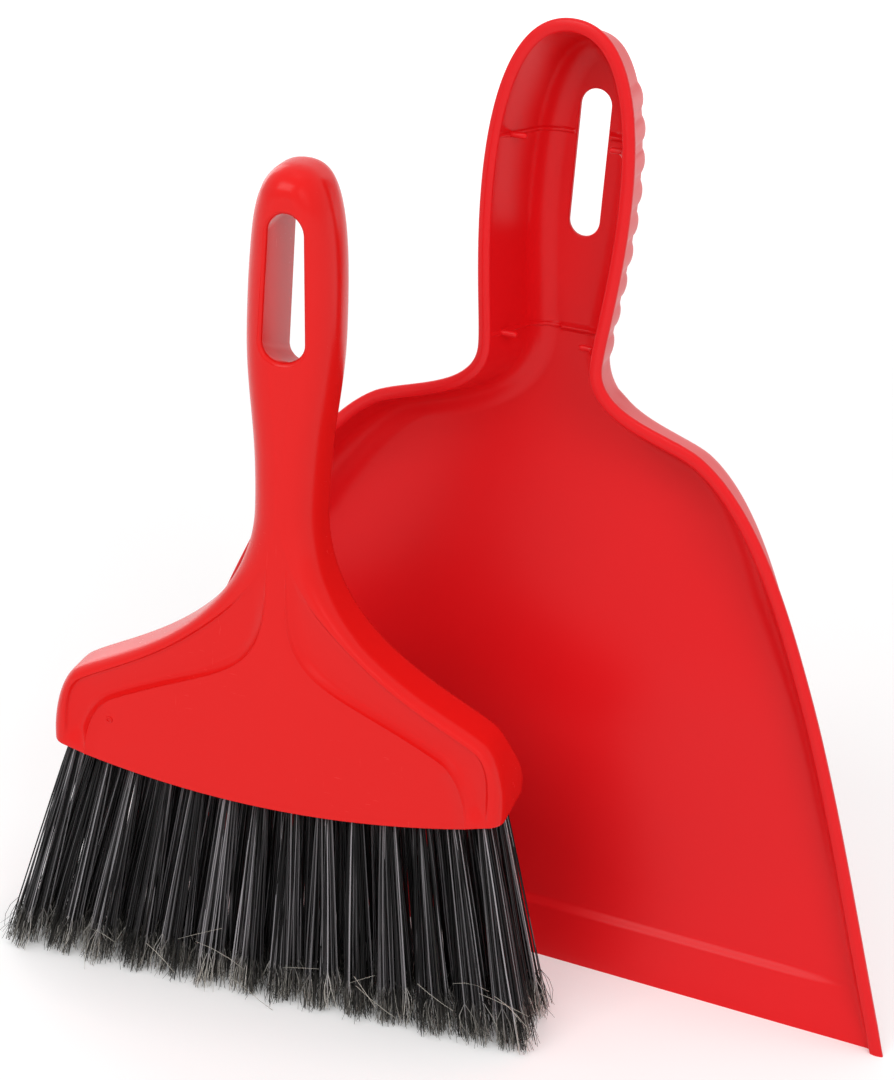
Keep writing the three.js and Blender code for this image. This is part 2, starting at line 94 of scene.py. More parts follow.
class DustpanSizes(bpy.types.PropertyGroup):
    """The pan's sizes: across, along from its mouth, and deep behind its rim."""

    mouth_width: length("Mouth width", 300, "Across the outside of the mouth")
    lean: angle("Lean", 5, "How far the standing pan leans back")
    side_top_width: length("Side top width", 215, "Across, where the straight sides end")
    side_top_rise: length("Side top rise", 123, "Where the straight sides end")
    shoulder_width: length("Shoulder width", 120, "Across the shoulders")
    shoulder_rise: length("Shoulder rise", 196.4, "Where the shoulders turn to the neck")
    neck_width: length("Neck width", 44.6, "Across the neck")
    neck_rise: length("Neck rise", 220, "From the mouth to the neck")
    grip_width: length("Grip width", 52.8, "Widest across the handle")
    grip_rise: length("Grip rise", 275, "Where the handle is widest")
    rise: length("Length", 332, "From the mouth to the tip of the handle")
    rim_width: length("Rim width", 4.4, "Across the flat rim")
    rim_round: length("Rim round", 1.3, "Rounding of the rim's edges")
    bead_drop: length("Bead drop", 3, "How far down the outside the rim bead reaches")
    wall: length("Wall", 2.4, "Thickness of the walls")
    lip_wall: length("Lip wall", 1.4, "Thickness at the mouth")
    draft: angle("Draft", 9, "How far the walls lean off square")
    lip_depth: length("Lip depth", 3, "Depth of the floor at the mouth")
    channel_depth: length("Channel depth", 31, "Depth of the handle's channel")
    bowl_fillet: length("Bowl fillet", 16, "Round between the bowl's floor and walls")
    channel_fillet: length("Channel fillet", 9, "Round between the channel's floor and walls")
    slot_width: length("Slot width", 11, "Across the hanging slot")
    slot_length: length("Slot length", 50, "Length of the hanging slot")
    slot_from_tip: length("Slot from tip", 26, "From the slot's top to the tip")
    scallop_proud: length("Scallop height", 1.0, "How far the grip scallops stand out")
    rib_proud: length("Rib height", 0.8, "How far the channel's ribs stand out")
    pin_diameter: length("Pin diameter", 2.2, "Pins that hold the stored brush")
    pin_reach: length("Pin reach", 6, "How far the pins stand out of the walls")


class BrushSizes(bpy.types.PropertyGroup):
    """The brush's sizes: across, up from the middle of its underside, and deep."""

    body_height: length("Body height", 221.8, "From the underside to the tip")
    bow_radius: length("Bow radius", 334, "Radius of the bowed underside")
    block_width: length("Block width", 161, "Widest across the block")
    block_rise: length("Block rise", 13.5, "Where the block is widest")
    foot_width: length("Foot width", 156, "Across the foot of the block")
    flank_width: length("Flank width", 145.2, "Across, where the shoulders start")
    flank_rise: length("Flank rise", 38.1, "Where the shoulders start")
    stem_width: length("Stem width", 22.5, "Narrowest across the handle")
    stem_rise: length("Stem rise", 105.9, "Where the handle is narrowest")
    grip_width: length("Grip width", 30.6, "Widest across the handle")
    grip_rise: length("Grip rise", 168.5, "Where the handle is widest")
    panel_width: length("Panel width", 136, "Across the raised panel at its foot")
    panel_bend_width: length("Panel bend width", 117, "Across the panel where it bends in")
    panel_bend_rise: length("Panel bend rise", 30.3, "Where the panel bends in")
    panel_waist_width: length("Panel waist width", 6.8, "Across the panel's narrow top")
    wing_sink: length("Wing sink", 2.6, "How far the wings lie below the panel")
    slot_width: length("Slot width", 13, "Across the hanging slot")
    slot_low: length("Slot low", 160, "Where the slot starts")
    slot_high: length("Slot high", 208, "Where the slot ends")
    hollow_inset: length("Hollow inset", 7.6, "Outline to the hollow back")


class BristleSizes(bpy.types.PropertyGroup):
    """The tufts' sizes and counts."""

    reach: length("Length", 72, "From the underside to the tips")
    hole: length("Hole diameter", 5.2, "Diameter of a tuft's hole")
    root: length("Root radius", 2.4, "Radius of a tuft where it leaves the block")
    tip_spread: length("Tip spread", 6.2, "Radius of a tuft at its tips")
    forward: length("Forward", 5, "How far the tips lean forward")
    row_flare: FloatProperty(
        name="Row flare", description="How much further apart the rows stand at the tips", default=1.5
    )
    filaments: IntProperty(name="Filaments", description="Filaments in each tuft", default=58)
    thickness: length("Filament", 0.5, "Diameter of a filament")
    split: length("Split ends", 13, "How far up the tips are split")


class FinishSettings(bpy.types.PropertyGroup):
    """Colours of the materials."""

    pan_red: colour("Pan red", 0.72, 0.007, 0.010, "The pan's plastic")
    brush_red: colour("Brush red", 0.73, 0.0085, 0.0075, "The brush's plastic")
    bristle_dark: colour("Bristle dark", 0.0115, 0.011, 0.0115, "The dark filaments")
    bristle_tip: colour("Bristle tip", 0.25, 0.235, 0.205, "The split tips")
    steel: colour("Steel", 0.62, 0.62, 0.64, "The wire anchors")


# ---- Curves and outlines ---------------------------------------------------------------------

def heading(degrees):
    """A heading off straight up, leaning towards the middle line."""
    turn = math.radians(degrees)
    return np.array([-math.sin(turn), math.cos(turn)])


def span(start, leave, leave_share, end, arrive, arrive_share):
    """A Bezier span between two headings; each pull is a share of the distance."""
    start, end = np.array(start), np.array(end)
    chord = np.linalg.norm(end - start)
    return np.array([
        start,
        start + heading(leave) * leave_share * chord,
        end - heading(arrive) * arrive_share * chord,
        end,
    ])


def span_points(curve, t):
    t = t[:, None]
    s = 1 - t
    return s**3 * curve[0] + 3 * s * s * t * curve[1] + 3 * s * t * t * curve[2] + t**3 * curve[3]


def span_tangents(curve, t):
    t = t[:, None]
    s = 1 - t
    ends = [curve[i + 1] - curve[i] for i in range(3)]
    tangent = s * s * ends[0] + 2 * s * t * ends[1] + t * t * ends[2]
    return tangent / np.linalg.norm(tangent, axis=1)[:, None]


def smooth(value, low, high):
    """0 below low, 1 above high and a smooth step between them."""
    t = np.clip((value - low) / (high - low), 0, 1)
    return t * t * (3 - 2 * t)


def eased(start, end, low, high, value):
    return start + (end - start) * smooth(value, low, high)


def mixed(first, second, share):
    return first + (second - first) * share


class Outline:
    """The right half of an outline, sampled finely from its foot to its tip."""

    SAMPLES = 600

    def __init__(self, spans, ends_on_middle=True):
        t = np.linspace(0, 1, self.SAMPLES)
        points = [span_points(spans[0], t)[:1]]
        tangents = [span_tangents(spans[0], t)[:1]]
        for curve in spans:
            points.append(span_points(curve, t)[1:])
            tangents.append(span_tangents(curve, t)[1:])
        self.points = np.vstack(points)
        tangent = np.vstack(tangents)
        self.out = np.column_stack([tangent[:, 1], -tangent[:, 0]])
        if ends_on_middle:
            self.out[-1] = (0, 1)
        self.measure()

    def measure(self):
        steps = np.linalg.norm(np.diff(self.points, axis=0), axis=1)
        self.along = np.concatenate([[0], np.cumsum(steps)])

    def extend_down(self, by):
        """Runs the first heading straight on below the foot."""
        start, out = self.points[0], self.out[0]
        down = -np.array([-out[1], out[0]])
        self.points = np.vstack([start + down * by, self.points])
        self.out = np.vstack([out, self.out])
        self.measure()

    def keep_from(self, first):
        self.points, self.out = self.points[first:], self.out[first:]
        self.measure()

    def at(self, along):
        """Points and outward directions at these distances from the foot."""
        points = np.column_stack([np.interp(along, self.along, self.points[:, i]) for i in (0, 1)])
        out = np.column_stack([np.interp(along, self.along, self.out[:, i]) for i in (0, 1)])
        return points, out / np.linalg.norm(out, axis=1)[:, None]

    def stations(self, spacing):
        """Distances from the foot, spaced by a size given for each sample."""
        density = 1 / spacing
        steps = np.diff(self.along) * (density[1:] + density[:-1]) / 2
        count = np.concatenate([[0], np.cumsum(steps)])
        wanted = np.linspace(0, count[-1], max(int(round(count[-1])), 2) + 1)
        return np.interp(wanted, count, self.along)

    def length_at(self, height):
        """The distance from the foot at which the outline reaches a height."""
        return float(np.interp(height, self.points[:, 1], self.along))


def finer_near(values, spacing, places):
    """Cuts a spacing down to (size, within) near each place."""
    for place, within, size in places:
        spacing = np.where(np.abs(values - place) < within, np.minimum(spacing, size), spacing)
    return spacing


def bump(value, middle, half):
    """A rounded bump, 1 high and twice half wide."""
    t = np.clip(np.abs(value - middle) / half, 0, 1)
    return np.sqrt(1 - t * t)


def arc_angles(count):
    return np.linspace(0, math.pi / 2, count)


def full_turn(count):
    """Angles round a circle, without the one that closes it."""
    return np.linspace(0, 2 * math.pi, count + 1)[:-1]


# ---- Meshes ----------------------------------------------------------------------------------

def new_piece(name, vertices, faces):
    mesh = bpy.data.meshes.new(name)
    mesh.from_pydata(np.asarray(vertices).tolist(), [], [list(face) for face in faces])
    piece = bpy.data.objects.new(name, mesh)
    bpy.context.scene.collection.objects.link(piece)
    return piece


def clean_mesh(piece, floor=False):
    """Welds a mesh, cuts it off at the floor if asked to, and points its faces out."""
    shape = bmesh.new()
    shape.from_mesh(piece.data)
    bmesh.ops.remove_doubles(shape, verts=shape.verts, dist=WELD)
    bmesh.ops.dissolve_degenerate(shape, edges=shape.edges, dist=WELD)
    if floor:
        everything = list(shape.verts) + list(shape.edges) + list(shape.faces)
        bmesh.ops.bisect_plane(
            shape, geom=everything, dist=WELD, plane_co=(0, 0, 0), plane_no=(0, 0, 1), clear_inner=True
        )
        open_edges = [edge for edge in shape.edges if edge.is_boundary]
        bmesh.ops.contextual_create(shape, geom=open_edges)
    bmesh.ops.recalc_face_normals(shape, faces=shape.faces)
    shape.to_mesh(piece.data)
    shape.free()


def moved(points, matrix):
    m = np.array(matrix)
    return np.asarray(points) @ m[:3, :3].T + m[:3, 3]


def closed_piece(name, shape, placing, floor=False):
    """A cleaned piece from points and faces in its item's own frame."""
    points, faces = shape
    piece = new_piece(name, moved(points, placing), faces)
    clean_mesh(piece, floor)
    return piece


def smooth_shading(piece):
    piece.data.shade_smooth()
    piece.data.set_sharp_from_angle(angle=SMOOTH_ANGLE)


def carve(piece, tool, operation="DIFFERENCE"):
    """Cuts or joins a tool body, which is then removed."""
    modifier = piece.modifiers.new("carve", "BOOLEAN")
    modifier.object = tool
    modifier.operation = operation
    modifier.solver = "EXACT"
    bpy.context.view_layer.update()
    carved = bpy.data.meshes.new_from_object(piece.evaluated_get(bpy.context.evaluated_depsgraph_get()))
    piece.modifiers.clear()
    before, body = piece.data, tool.data
    carved.name = before.name
    piece.data = carved
    bpy.data.objects.remove(tool)
    bpy.data.meshes.remove(before)
    bpy.data.meshes.remove(body)


def ring_faces(rings, columns):
    """Quads between closed rings of equal length."""
    j = np.arange(rings - 1)[:, None] * columns
    k = np.arange(columns)[None, :]
    following = (k + 1) % columns
    quads = np.stack([j + k, j + following, j + columns + following, j + columns + k], -1)
    return quads.reshape(-1, 4).tolist()


def closed_rings(*sheets):
    """Rings round an item, through four sheets that run to its middle line and back in turn."""
    grids = [np.stack(sheet, axis=-1) for sheet in sheets]
    return np.concatenate([grids[0], grids[1][:, -2::-1], grids[2], grids[3][:, -2::-1]], axis=1)


def tube_rings(rings):
    """Points and faces of a closed body through rings of equal length, with flat ends."""
    count, columns = rings.shape[:2]
    faces = ring_faces(count, columns)
    faces.append(list(range(columns))[::-1])
    faces.append([(count - 1) * columns + k for k in range(columns)])
    return rings.reshape(-1, 3), faces


def merged(shapes):
    """The points and faces of several shapes as one."""
    vertices, faces, first = [], [], 0
    for points, shape_faces in shapes:
        vertices.append(points)
        faces += [[corner + first for corner in face] for face in shape_faces]
        first += len(points)
    return np.vstack(vertices), faces


def slot_ring(width, low, high, grow, corners=28):
    """Points round a slot with round ends, grown outwards."""
    turn = np.linspace(0, math.pi, corners)
    radius = width / 2 + grow
    arc = np.column_stack([radius * np.cos(turn), radius * np.sin(turn)])
    top = arc + (0, high - width / 2)
    bottom = -arc + (0, low + width / 2)
    return np.vstack([top, bottom])


def lip_curve(radius, start, steps):
    """A slot's rolled lip: how far each step is sunk into the wall, and how far it is grown."""
    turn = np.linspace(math.radians(start), math.pi / 2, steps)
    return list(zip(radius * (1 - np.cos(turn)), radius * (1 - np.sin(turn))))


# ---- Dustpan ---------------------------------------------------------------------------------
CREASE_RISE = 19 * MM          # the entry ramp ends here in a small rounded step
CREASE_FOOT = 17.2 * MM
CREASE_TOP = 21 * MM
CREASE_FOOT_DEPTH = 6.1 * MM
CREASE_TOP_DEPTH = 8.05 * MM
CREASE_HALF = 134 * MM         # half as wide as the step
CREASE_FADE = 0.9              # the step fades towards the walls from this share of that
SLOPE_RISE = 100 * MM          # the floor starts to fall away here
SLOPE_DEPTH = 11.5 * MM
CHANNEL_RISE = 222 * MM        # the channel is level from here
RIM_CROWN = 0.22 * MM
FILLET_MOST = 0.85             # a fillet takes up no more than this share of the depth
BEAD_MOST = 0.45
EDGE_MOST = 0.4                # an edge takes up no more than this share of the bead
BEAD_FOOT = 0.4                # the round under the bead, as a share of the rim's edge
SNAP_RISES = (224 * MM, 291 * MM)
RIB_HALF = 0.75 * MM
RIB_FADE = (2.2 * MM, 3.4 * MM)  # the ribs rise out of the wall between these depths
BAR_PROUD = 0.8 * MM           # the raised bar on the right half of each rib
BAR_HALF = 1.35 * MM
BAR_START = (-4.4 * MM, -3.6 * MM)
PIN_DEPTH = 8 * MM
PIN_ROOT = 0.8 * MM            # how far a pin starts inside the wall
PIN_END = 0.05 * MM
PIN_SIDES = 16
PIN_RINGS = 5
SCALLOP_PITCH = 10.6 * MM
SCALLOP_FIRST = 217 * MM
SCALLOP_COUNT = 9
SCALLOP_LONG = 8.4 * MM
SCALLOP_SUNK = 0.6             # the share of its height by which a scallop starts in the wall
SKIRT_STEP = (205.5 * MM, 206.5 * MM)  # the bowl's smooth skirt ends in a small step
SKIRT_PROUD = 0.5 * MM
RIM_COLUMNS = 2
EDGE_COLUMNS = 5
WALL_COLUMNS = 7
FILLET_COLUMNS = 10
FLOOR_COLUMNS = 12
CREASE_COLUMNS = 3             # the step also runs over this many columns of the fillet
FOOT_ROUNDS = 6                # rounds in which the place of the wall's foot settles
BOWL_ROWS = 2.4 * MM           # spacing of the rows on the bowl, and from just below the neck
GRIP_ROWS = 0.8 * MM
GRIP_ROWS_BELOW = 8 * MM
# Where the rows lie closer: height, reach to each side, spacing.
PAN_FINE_ROWS = (
    *((rise, 2.2 * MM, 0.3 * MM) for rise in SNAP_RISES),
    (23 * MM, 4.5 * MM, 0.45 * MM),
    (206 * MM, 1.6 * MM, 0.3 * MM),
)
PAN_LIP = 0.8 * MM             # radius of the slot's lips
CUTTER_REACH = 4 * MM          # how far a slot's cutter stands out of the wall
CUTTER_ROOM = 0.9 * MM


def pan_outline(pan):
    mouth = (pan.mouth_width / 2, 0.0)
    side_top = (pan.side_top_width / 2, pan.side_top_rise)
    shoulder = (pan.shoulder_width / 2, pan.shoulder_rise)
    neck = (pan.neck_width / 2, pan.neck_rise)
    grip = (pan.grip_width / 2, pan.grip_rise)
    outline = Outline([
        span(mouth, 18.9, 0.307, side_top, 22.8, 0.292),
        span(side_top, 22.8, 0.343, shoulder, 59, 0.286),
        span(shoulder, 59, 0.27, neck, 0, 0.36),
        span(neck, 0, 0.145, grip, 0, 0.453),
        span(grip, 0, 0.525, (0.0, pan.rise), 90, 0.3),
    ])
    outline.extend_down(3 * pan.rim_width)
    return outline


def floor_depth(pan, height):
    """The floor's depth behind the rim, without the step at the crease."""
    slope = (SLOPE_DEPTH - CREASE_TOP_DEPTH) / (SLOPE_RISE - CREASE_RISE)
    ramp = mixed(pan.lip_depth, CREASE_TOP_DEPTH, np.clip(height / CREASE_RISE, 0, 1))
    gentle = CREASE_TOP_DEPTH + slope * (height - CREASE_RISE)
    share = np.clip((height - SLOPE_RISE) / (CHANNEL_RISE - SLOPE_RISE), 0, 1)
    carried = slope * (CHANNEL_RISE - SLOPE_RISE) * share * (1 - share) ** 2
    fall = eased(SLOPE_DEPTH, pan.channel_depth, 0, 1, share) + carried
    return np.where(height < CREASE_RISE, ramp, np.where(height < SLOPE_RISE, gentle, fall))


def crease_step(pan, x, height):
    """How much nearer the ramp lies than the plain floor, ending in the rounded step."""
    plain = floor_depth(pan, height)
    ramp = mixed(pan.lip_depth, CREASE_FOOT_DEPTH, np.clip(height / CREASE_FOOT, 0, 1))
    stepped = mixed(ramp, plain, smooth(height, CREASE_FOOT, CREASE_TOP))
    return (plain - stepped) * (1 - smooth(np.abs(x), CREASE_FADE * CREASE_HALF, CREASE_HALF))


def rib_height(pan, x, height):
    """How far the ribs across the channel and their bars stand out here."""
    proud = np.zeros_like(height)
    for rise in SNAP_RISES:
        bar = smooth(x, *BAR_START) * BAR_PROUD * bump(height, rise, BAR_HALF)
        proud = proud + pan.rib_proud * bump(height, rise, RIB_HALF) + bar
    return proud


def scallop_height(pan, height):
    """How far the grip scallops and the skirt's step stand out of the outer wall."""
    nearest = np.clip(np.round((height - SCALLOP_FIRST) / SCALLOP_PITCH - 0.5), 0, SCALLOP_COUNT - 1)
    middle = SCALLOP_FIRST + SCALLOP_PITCH * (nearest + 0.5)
    raised = (1 + SCALLOP_SUNK) * bump(height, middle, SCALLOP_LONG / 2) - SCALLOP_SUNK
    skirt = SKIRT_PROUD * (1 - smooth(height, *SKIRT_STEP))
    return np.maximum(raised, 0) * pan.scallop_proud + skirt


def pan_section(pan, points, out):
    """Insets, depths and surface angles of the front and back columns at each place."""
    draft, rim = pan.draft, pan.rim_width
    wanted = eased(pan.bowl_fillet, pan.channel_fillet, pan.side_top_rise, CHANNEL_RISE, points[:, 1])
    depth = floor_depth(pan, points[:, 1])
    for _ in range(FOOT_ROUNDS):
        fillet = np.minimum(wanted, FILLET_MOST * (depth - pan.rim_round))
        straight = depth - pan.rim_round - fillet * (1 - math.sin(draft))
        foot = rim + straight * math.tan(draft) + fillet * math.cos(draft)
        foot_height = points[:, 1] - out[:, 1] * foot
        depth = floor_depth(pan, foot_height)
    wall = eased(pan.lip_wall, pan.wall, 0, CREASE_RISE, foot_height)
    bead = np.minimum(pan.bead_drop, BEAD_MOST * (depth + wall))
    edge = np.minimum(pan.rim_round, EDGE_MOST * bead)[:, None]
    fillet, foot, depth, wall, bead = (a[:, None] for a in (fillet, foot, depth, wall, bead))
    corner = arc_angles(EDGE_COLUMNS)[None, :]
    rise, run = 1 - np.sin(corner), 1 - np.cos(corner)
    turn = np.linspace(draft, math.pi / 2, FILLET_COLUMNS)[None, :]
    across = np.linspace(0, 1, RIM_COLUMNS + 2)[None, 1:-1]
    down = np.linspace(0, 1, WALL_COLUMNS + 1)[None, 1:-1]

    def fillet_arc(radius):
        return foot - radius * np.cos(turn), depth - fillet + radius * np.sin(turn)

    inner = fillet_arc(fillet)
    outer = fillet_arc(fillet + wall)
    front = (
        np.hstack([
            edge * run,
            mixed(edge, rim - edge, across),
            rim - edge * rise,
            mixed(rim, inner[0][:, :1], down),
            inner[0],
        ]),
        np.hstack([
            RIM_CROWN + (edge - RIM_CROWN) * rise,
            0 * edge + 0 * across,
            RIM_CROWN + (edge - RIM_CROWN) * run,
            mixed(edge, inner[1][:, :1], down),
            inner[1],
        ]),
    )
    under = BEAD_FOOT * edge
    root = outer[0][:, :1] - (outer[1][:, :1] - bead) * math.tan(draft)
    back = (
        np.hstack([
            edge * run,
            mixed(edge, root - under, across),
            root - under * rise,
            mixed(root, outer[0][:, :1], down),
            outer[0],
        ]),
        np.hstack([
            bead - edge * rise,
            bead + 0 * across,
            bead + under * run,
            mixed(bead + under, outer[1][:, :1], down),
            outer[1],
        ]),
    )
    flat = 2 * EDGE_COLUMNS + RIM_COLUMNS
    facing = np.concatenate([np.full(flat + WALL_COLUMNS - 1, draft), turn[0]])
    return front, back, facing, flat, depth[:, 0], wall[:, 0]


def with_floor(x, depth, height, floor):
    """Adds columns from the foot of the wall to the middle line."""
    share = np.linspace(0, 1, FLOOR_COLUMNS + 1)[None, 1:]
    columns = (x[:, -1:] * (1 - share), floor[:, None] + 0 * share, height[:, -1:] + 0 * share)
    return tuple(np.hstack(pair) for pair in zip((x, depth, height), columns))


def pan_columns(pan, points, out, side):
    """The front and back columns of one side, as x, depth and height arrays."""
    front, back, facing, flat, floor, wall = pan_section(pan, points, out)
    sheets = []
    for inset, depth in (front, back):
        x = side * (points[:, :1] - out[:, :1] * inset)
        sheets.append([x, depth, points[:, 1:] - out[:, 1:] * inset])

    x, depth, height = with_floor(*sheets[0], floor)
    ribbed = rib_height(pan, x, height)
    ribbed[:, :flat] = 0
    ribbed *= smooth(depth, *RIB_FADE)
    angles = np.concatenate([facing, np.full(FLOOR_COLUMNS, math.pi / 2)])
    x = x - side * ribbed * np.cos(angles)
    depth = depth - ribbed * np.sin(angles)
    on_floor = slice(len(facing) - CREASE_COLUMNS, None)
    depth[:, on_floor] -= crease_step(pan, x[:, on_floor], height[:, on_floor])
    front = (x, depth, height)

    x, depth, height = sheets[1]
    weight = np.concatenate([np.zeros(flat), np.ones(WALL_COLUMNS - 1), np.cos(facing[-FILLET_COLUMNS:])])
    weight[flat - EDGE_COLUMNS + 1:flat] = 1
    outward = scallop_height(pan, height) * weight
    x = x + side * out[:, :1] * outward * np.cos(facing)
    height = height + out[:, 1:] * outward * np.cos(facing)
    depth = depth + outward * np.sin(facing)
    return front, with_floor(x, depth, height, floor + wall)


def place_pan(pan):
    """From the pan's frame to the scene: it leans back on its mouth."""
    low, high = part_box("dustpan_shell")
    stand = Matrix.Translation(((low[0] + high[0]) / 2, low[1], 0))
    return stand @ Matrix.Rotation(-pan.lean, 4, "X")


def snap_pins(pan, outline):
    """Round-ended pins that stand out of the channel's walls."""
    radius = pan.pin_diameter / 2
    turn = full_turn(PIN_SIDES)[None, :]
    dome = arc_angles(PIN_RINGS)
    reach = np.concatenate([[-PIN_ROOT], pan.pin_reach - radius + radius * np.sin(dome)])[:, None]
    girth = np.maximum(np.concatenate([[radius], radius * np.cos(dome)]), PIN_END)[:, None]
    pins = []
    for rise in SNAP_RISES:
        edge = np.interp(rise, outline.points[:, 1], outline.points[:, 0])
        wall = edge - pan.rim_width - (PIN_DEPTH - pan.rim_round) * math.tan(pan.draft)
        for side in (-1, 1):
            rings = (
                side * (wall - reach) + 0 * turn,
                PIN_DEPTH + girth * np.cos(turn),
                rise + girth * np.sin(turn),
            )
            pins.append(tube_rings(np.stack(rings, axis=-1)))
    return merged(pins)


def pan_slot(pan):
    """The cutter of the hanging slot, with a rolled lip on each side."""
    top = pan.rise - pan.slot_from_tip
    back = pan.channel_depth + pan.wall
    lip = lip_curve(PAN_LIP, 20, 5)
    levels = [(pan.channel_depth - CUTTER_REACH, PAN_LIP + CUTTER_ROOM)]
    levels += [(pan.channel_depth + sunk, grown) for sunk, grown in lip]
    levels += [(back - sunk, grown) for sunk, grown in reversed(lip)]
    levels.append((back + CUTTER_REACH, PAN_LIP + CUTTER_ROOM))
    rings = []
    for level, grown in levels:
        ring = slot_ring(pan.slot_width, top - pan.slot_length, top, grown)
        rings.append(np.insert(ring, 1, level, axis=1))
    return tube_rings(np.array(rings))


def build_dustpan(pan):
    outline = pan_outline(pan)
    height = outline.points[:, 1]
    spacing = np.where(height > pan.neck_rise - GRIP_ROWS_BELOW, GRIP_ROWS, BOWL_ROWS)
    points, out = outline.at(outline.stations(finer_near(height, spacing, PAN_FINE_ROWS)))
    right_front, right_back = pan_columns(pan, points, out, 1)
    left_front, left_back = pan_columns(pan, points, out, -1)
    rings = closed_rings(right_front, left_front, left_back, right_back)
    placing = place_pan(pan)
    shape = (rings.reshape(-1, 3), ring_faces(*rings.shape[:2]))
    shell = closed_piece("dustpan", shape, placing, floor=True)
    carve(shell, closed_piece("pins", snap_pins(pan, outline), placing), "UNION")
    carve(shell, closed_piece("slot", pan_slot(pan), placing))
    smooth_shading(shell)
    return shell


# ---- Brush body ------------------------------------------------------------------------------
ARC_COLUMNS = 9
SIDE_COLUMNS = 21
MIDDLE_COLUMNS = 14
FOOT_ROUND = 0.8 * MM
FOOT_ROWS = 4
FOOT_CLEAR = 1.3               # the next row comes this many foot rounds up
BODY_ROWS = 1.15 * MM          # spacing of the rows, and from a height near the tip
TIP_ROWS = 0.7 * MM
TIP_ROWS_RISE = 205 * MM
FOOT_BELOW = 6 * MM            # the outline starts this far down and is cut at the bow
ROOF_RISE = 24 * MM            # the hollow back starts this far above the bow
WAIST_RISE = 94 * MM           # the raised panel ends here
PANEL_NECK_RISE = 82 * MM
# Heights between which a size changes: from block to flanks, on to the handle, and to its tip.
TO_FLANKS = (15 * MM, 36 * MM)
TO_HANDLE = (60 * MM, 112 * MM)
TO_TIP = (190 * MM, 214 * MM)
# Sizes at the block, the flanks, the handle and its tip.
FRONT_DEPTH = (14 * MM, 14 * MM, 13.5 * MM, 13.5 * MM)
FRONT_ROUND = (4.6 * MM, 2.8 * MM, 11 * MM, 8.6 * MM)
FRONT_FALL = (5 * MM, 6 * MM, 12.4 * MM, 11 * MM)
BACK_DEPTH = (14 * MM, 10 * MM, 13.5 * MM, 13 * MM)
BACK_ROUND = (2.4 * MM, 6.6 * MM, 7.2 * MM, 8.2 * MM)
BACK_FALL = (2.4 * MM, 9 * MM, 10.5 * MM, 10 * MM)
ROUND_MOST = 0.93              # a round takes up no more of the half width, up to this height
ROUND_FREE_RISE = 200 * MM
STRAIGHT_FROM = 30 * MM        # the rows stop following the bow this far past the flanks
CAP_INSET = 9.6 * MM           # round the tip, the rows end this far inside the outline
CAP_SPAN = (180 * MM, 200 * MM)
WING_LOW = 11 * MM             # the wings start here and reach their full depth higher up
WING_FULL = 19 * MM
WING_LOW_SINK = 0.1 * MM
WING_END = (62 * MM, 92 * MM)  # they come up to the panel again between these heights
RIM_FLAT = 0.1 * MM
RIM_SHARE = 0.55               # the rim's short inner wall takes this share of the sink
RIM_SLOPE = 1.5 * MM
RIM_STEPS = 6
WING_STEPS = 7
PANEL_SLOPE = 4 * MM
PANEL_STEPS = (0.2, 0.4, 0.6, 0.78, 0.88, 0.94, 1.0)  # columns up the panel's flank
PANEL_POWER = 1.7
PANEL_ROOM = 5 * MM            # least space between the panel and the rounded edge
PANEL_LEAST = 0.75             # or else the panel keeps this share of the width
PANEL_STRAIGHT = 14 * MM       # its edge runs straight over this length below the waist
SLOPES_MOST = 0.8              # the rim's wall and the flank take up no more of the wing
PANEL_CROWN = 0.25 * MM
BEAD_PROUD = 0.22 * MM         # a fine bead runs along the panel's edge
BEAD_WIDTH = 0.3 * MM
BEAD_MOST_SHARE = 0.3
BEAD_FADE = 12 * MM
BRACES = (78 * MM, 124 * MM)
BRACE_HALF = 1 * MM
BRACE_EDGE = (-0.1 * MM, 0.6 * MM)
ROOF_STEP = 0.8 * MM           # how far the hollow's two end walls lean
HOLLOW_STOP = 3.2 * MM         # the hollow ends this far below the slot's tunnel
HOLLOW_LEDGE = 0.15 * MM
# The hollow's side wall: distance in from the ledge, and share of its depth reached there.
HOLLOW_STEPS = np.array([0, 0.25, 0.45, 0.55, 0.7, 0.85, 1.3, 2.2]) * MM
HOLLOW_SUNK = np.array([0, 0.012, 0.06, 0.3, 0.7, 0.92, 0.97, 1.0])
HOLLOW_MOST = 0.97
SKIN = 2.6 * MM                # left in front of the hollow, and more behind the wings
SKIN_THINS = (80 * MM, 105 * MM)
FRONT_LIP = 1.8 * MM
BACK_LIP = 1.2 * MM
SLOT_FALL = 8 * MM             # the slot's floor slopes down to the back by this much
SLOT_LIFT = 2 * MM
SLOT_NARROW = 1.2 * MM
SLOT_TAPER = 0.13              # wider than its middle at its lower end, narrower at its upper end
GATE_AT = (-58.7 * MM, 22.6 * MM)
GATE_RADIUS = 0.95 * MM
GATE_HALF = 0.3 * MM
GATE_PROUD = 0.42 * MM
GATE_SIDES = 24
GATE_POINTS = 8
# Rings of a hole's cutter: rise above the bow, and radius as a share of the hole's diameter.
HOLE_RINGS = ((-3 * MM, 0.6), (0.3 * MM, 0.5), (9 * MM, 0.5))
HOLE_SIDES = 20


def brush_outline(brush):
    foot = (brush.foot_width / 2, -FOOT_BELOW)
    block = (brush.block_width / 2, brush.block_rise)
    flank = (brush.flank_width / 2, brush.flank_rise)
    stem = (brush.stem_width / 2, brush.stem_rise)
    grip = (brush.grip_width / 2, brush.grip_rise)
    outline = Outline([
        span(foot, -14, 0.27, block, 0, 0.27),
        span(block, 0, 0.374, flank, 54.7, 0.251),
        span(flank, 54.7, 0.152, stem, 0, 0.488),
        span(stem, 0, 0.495, grip, 0, 0.378),
        span(grip, 0, 0.752, (0.0, brush.body_height), 90, 0.208),
    ])
    above = outline.points[:, 1] >= bow(brush, outline.points[:, 0])
    outline.keep_from(int(np.argmax(above)))
    return outline


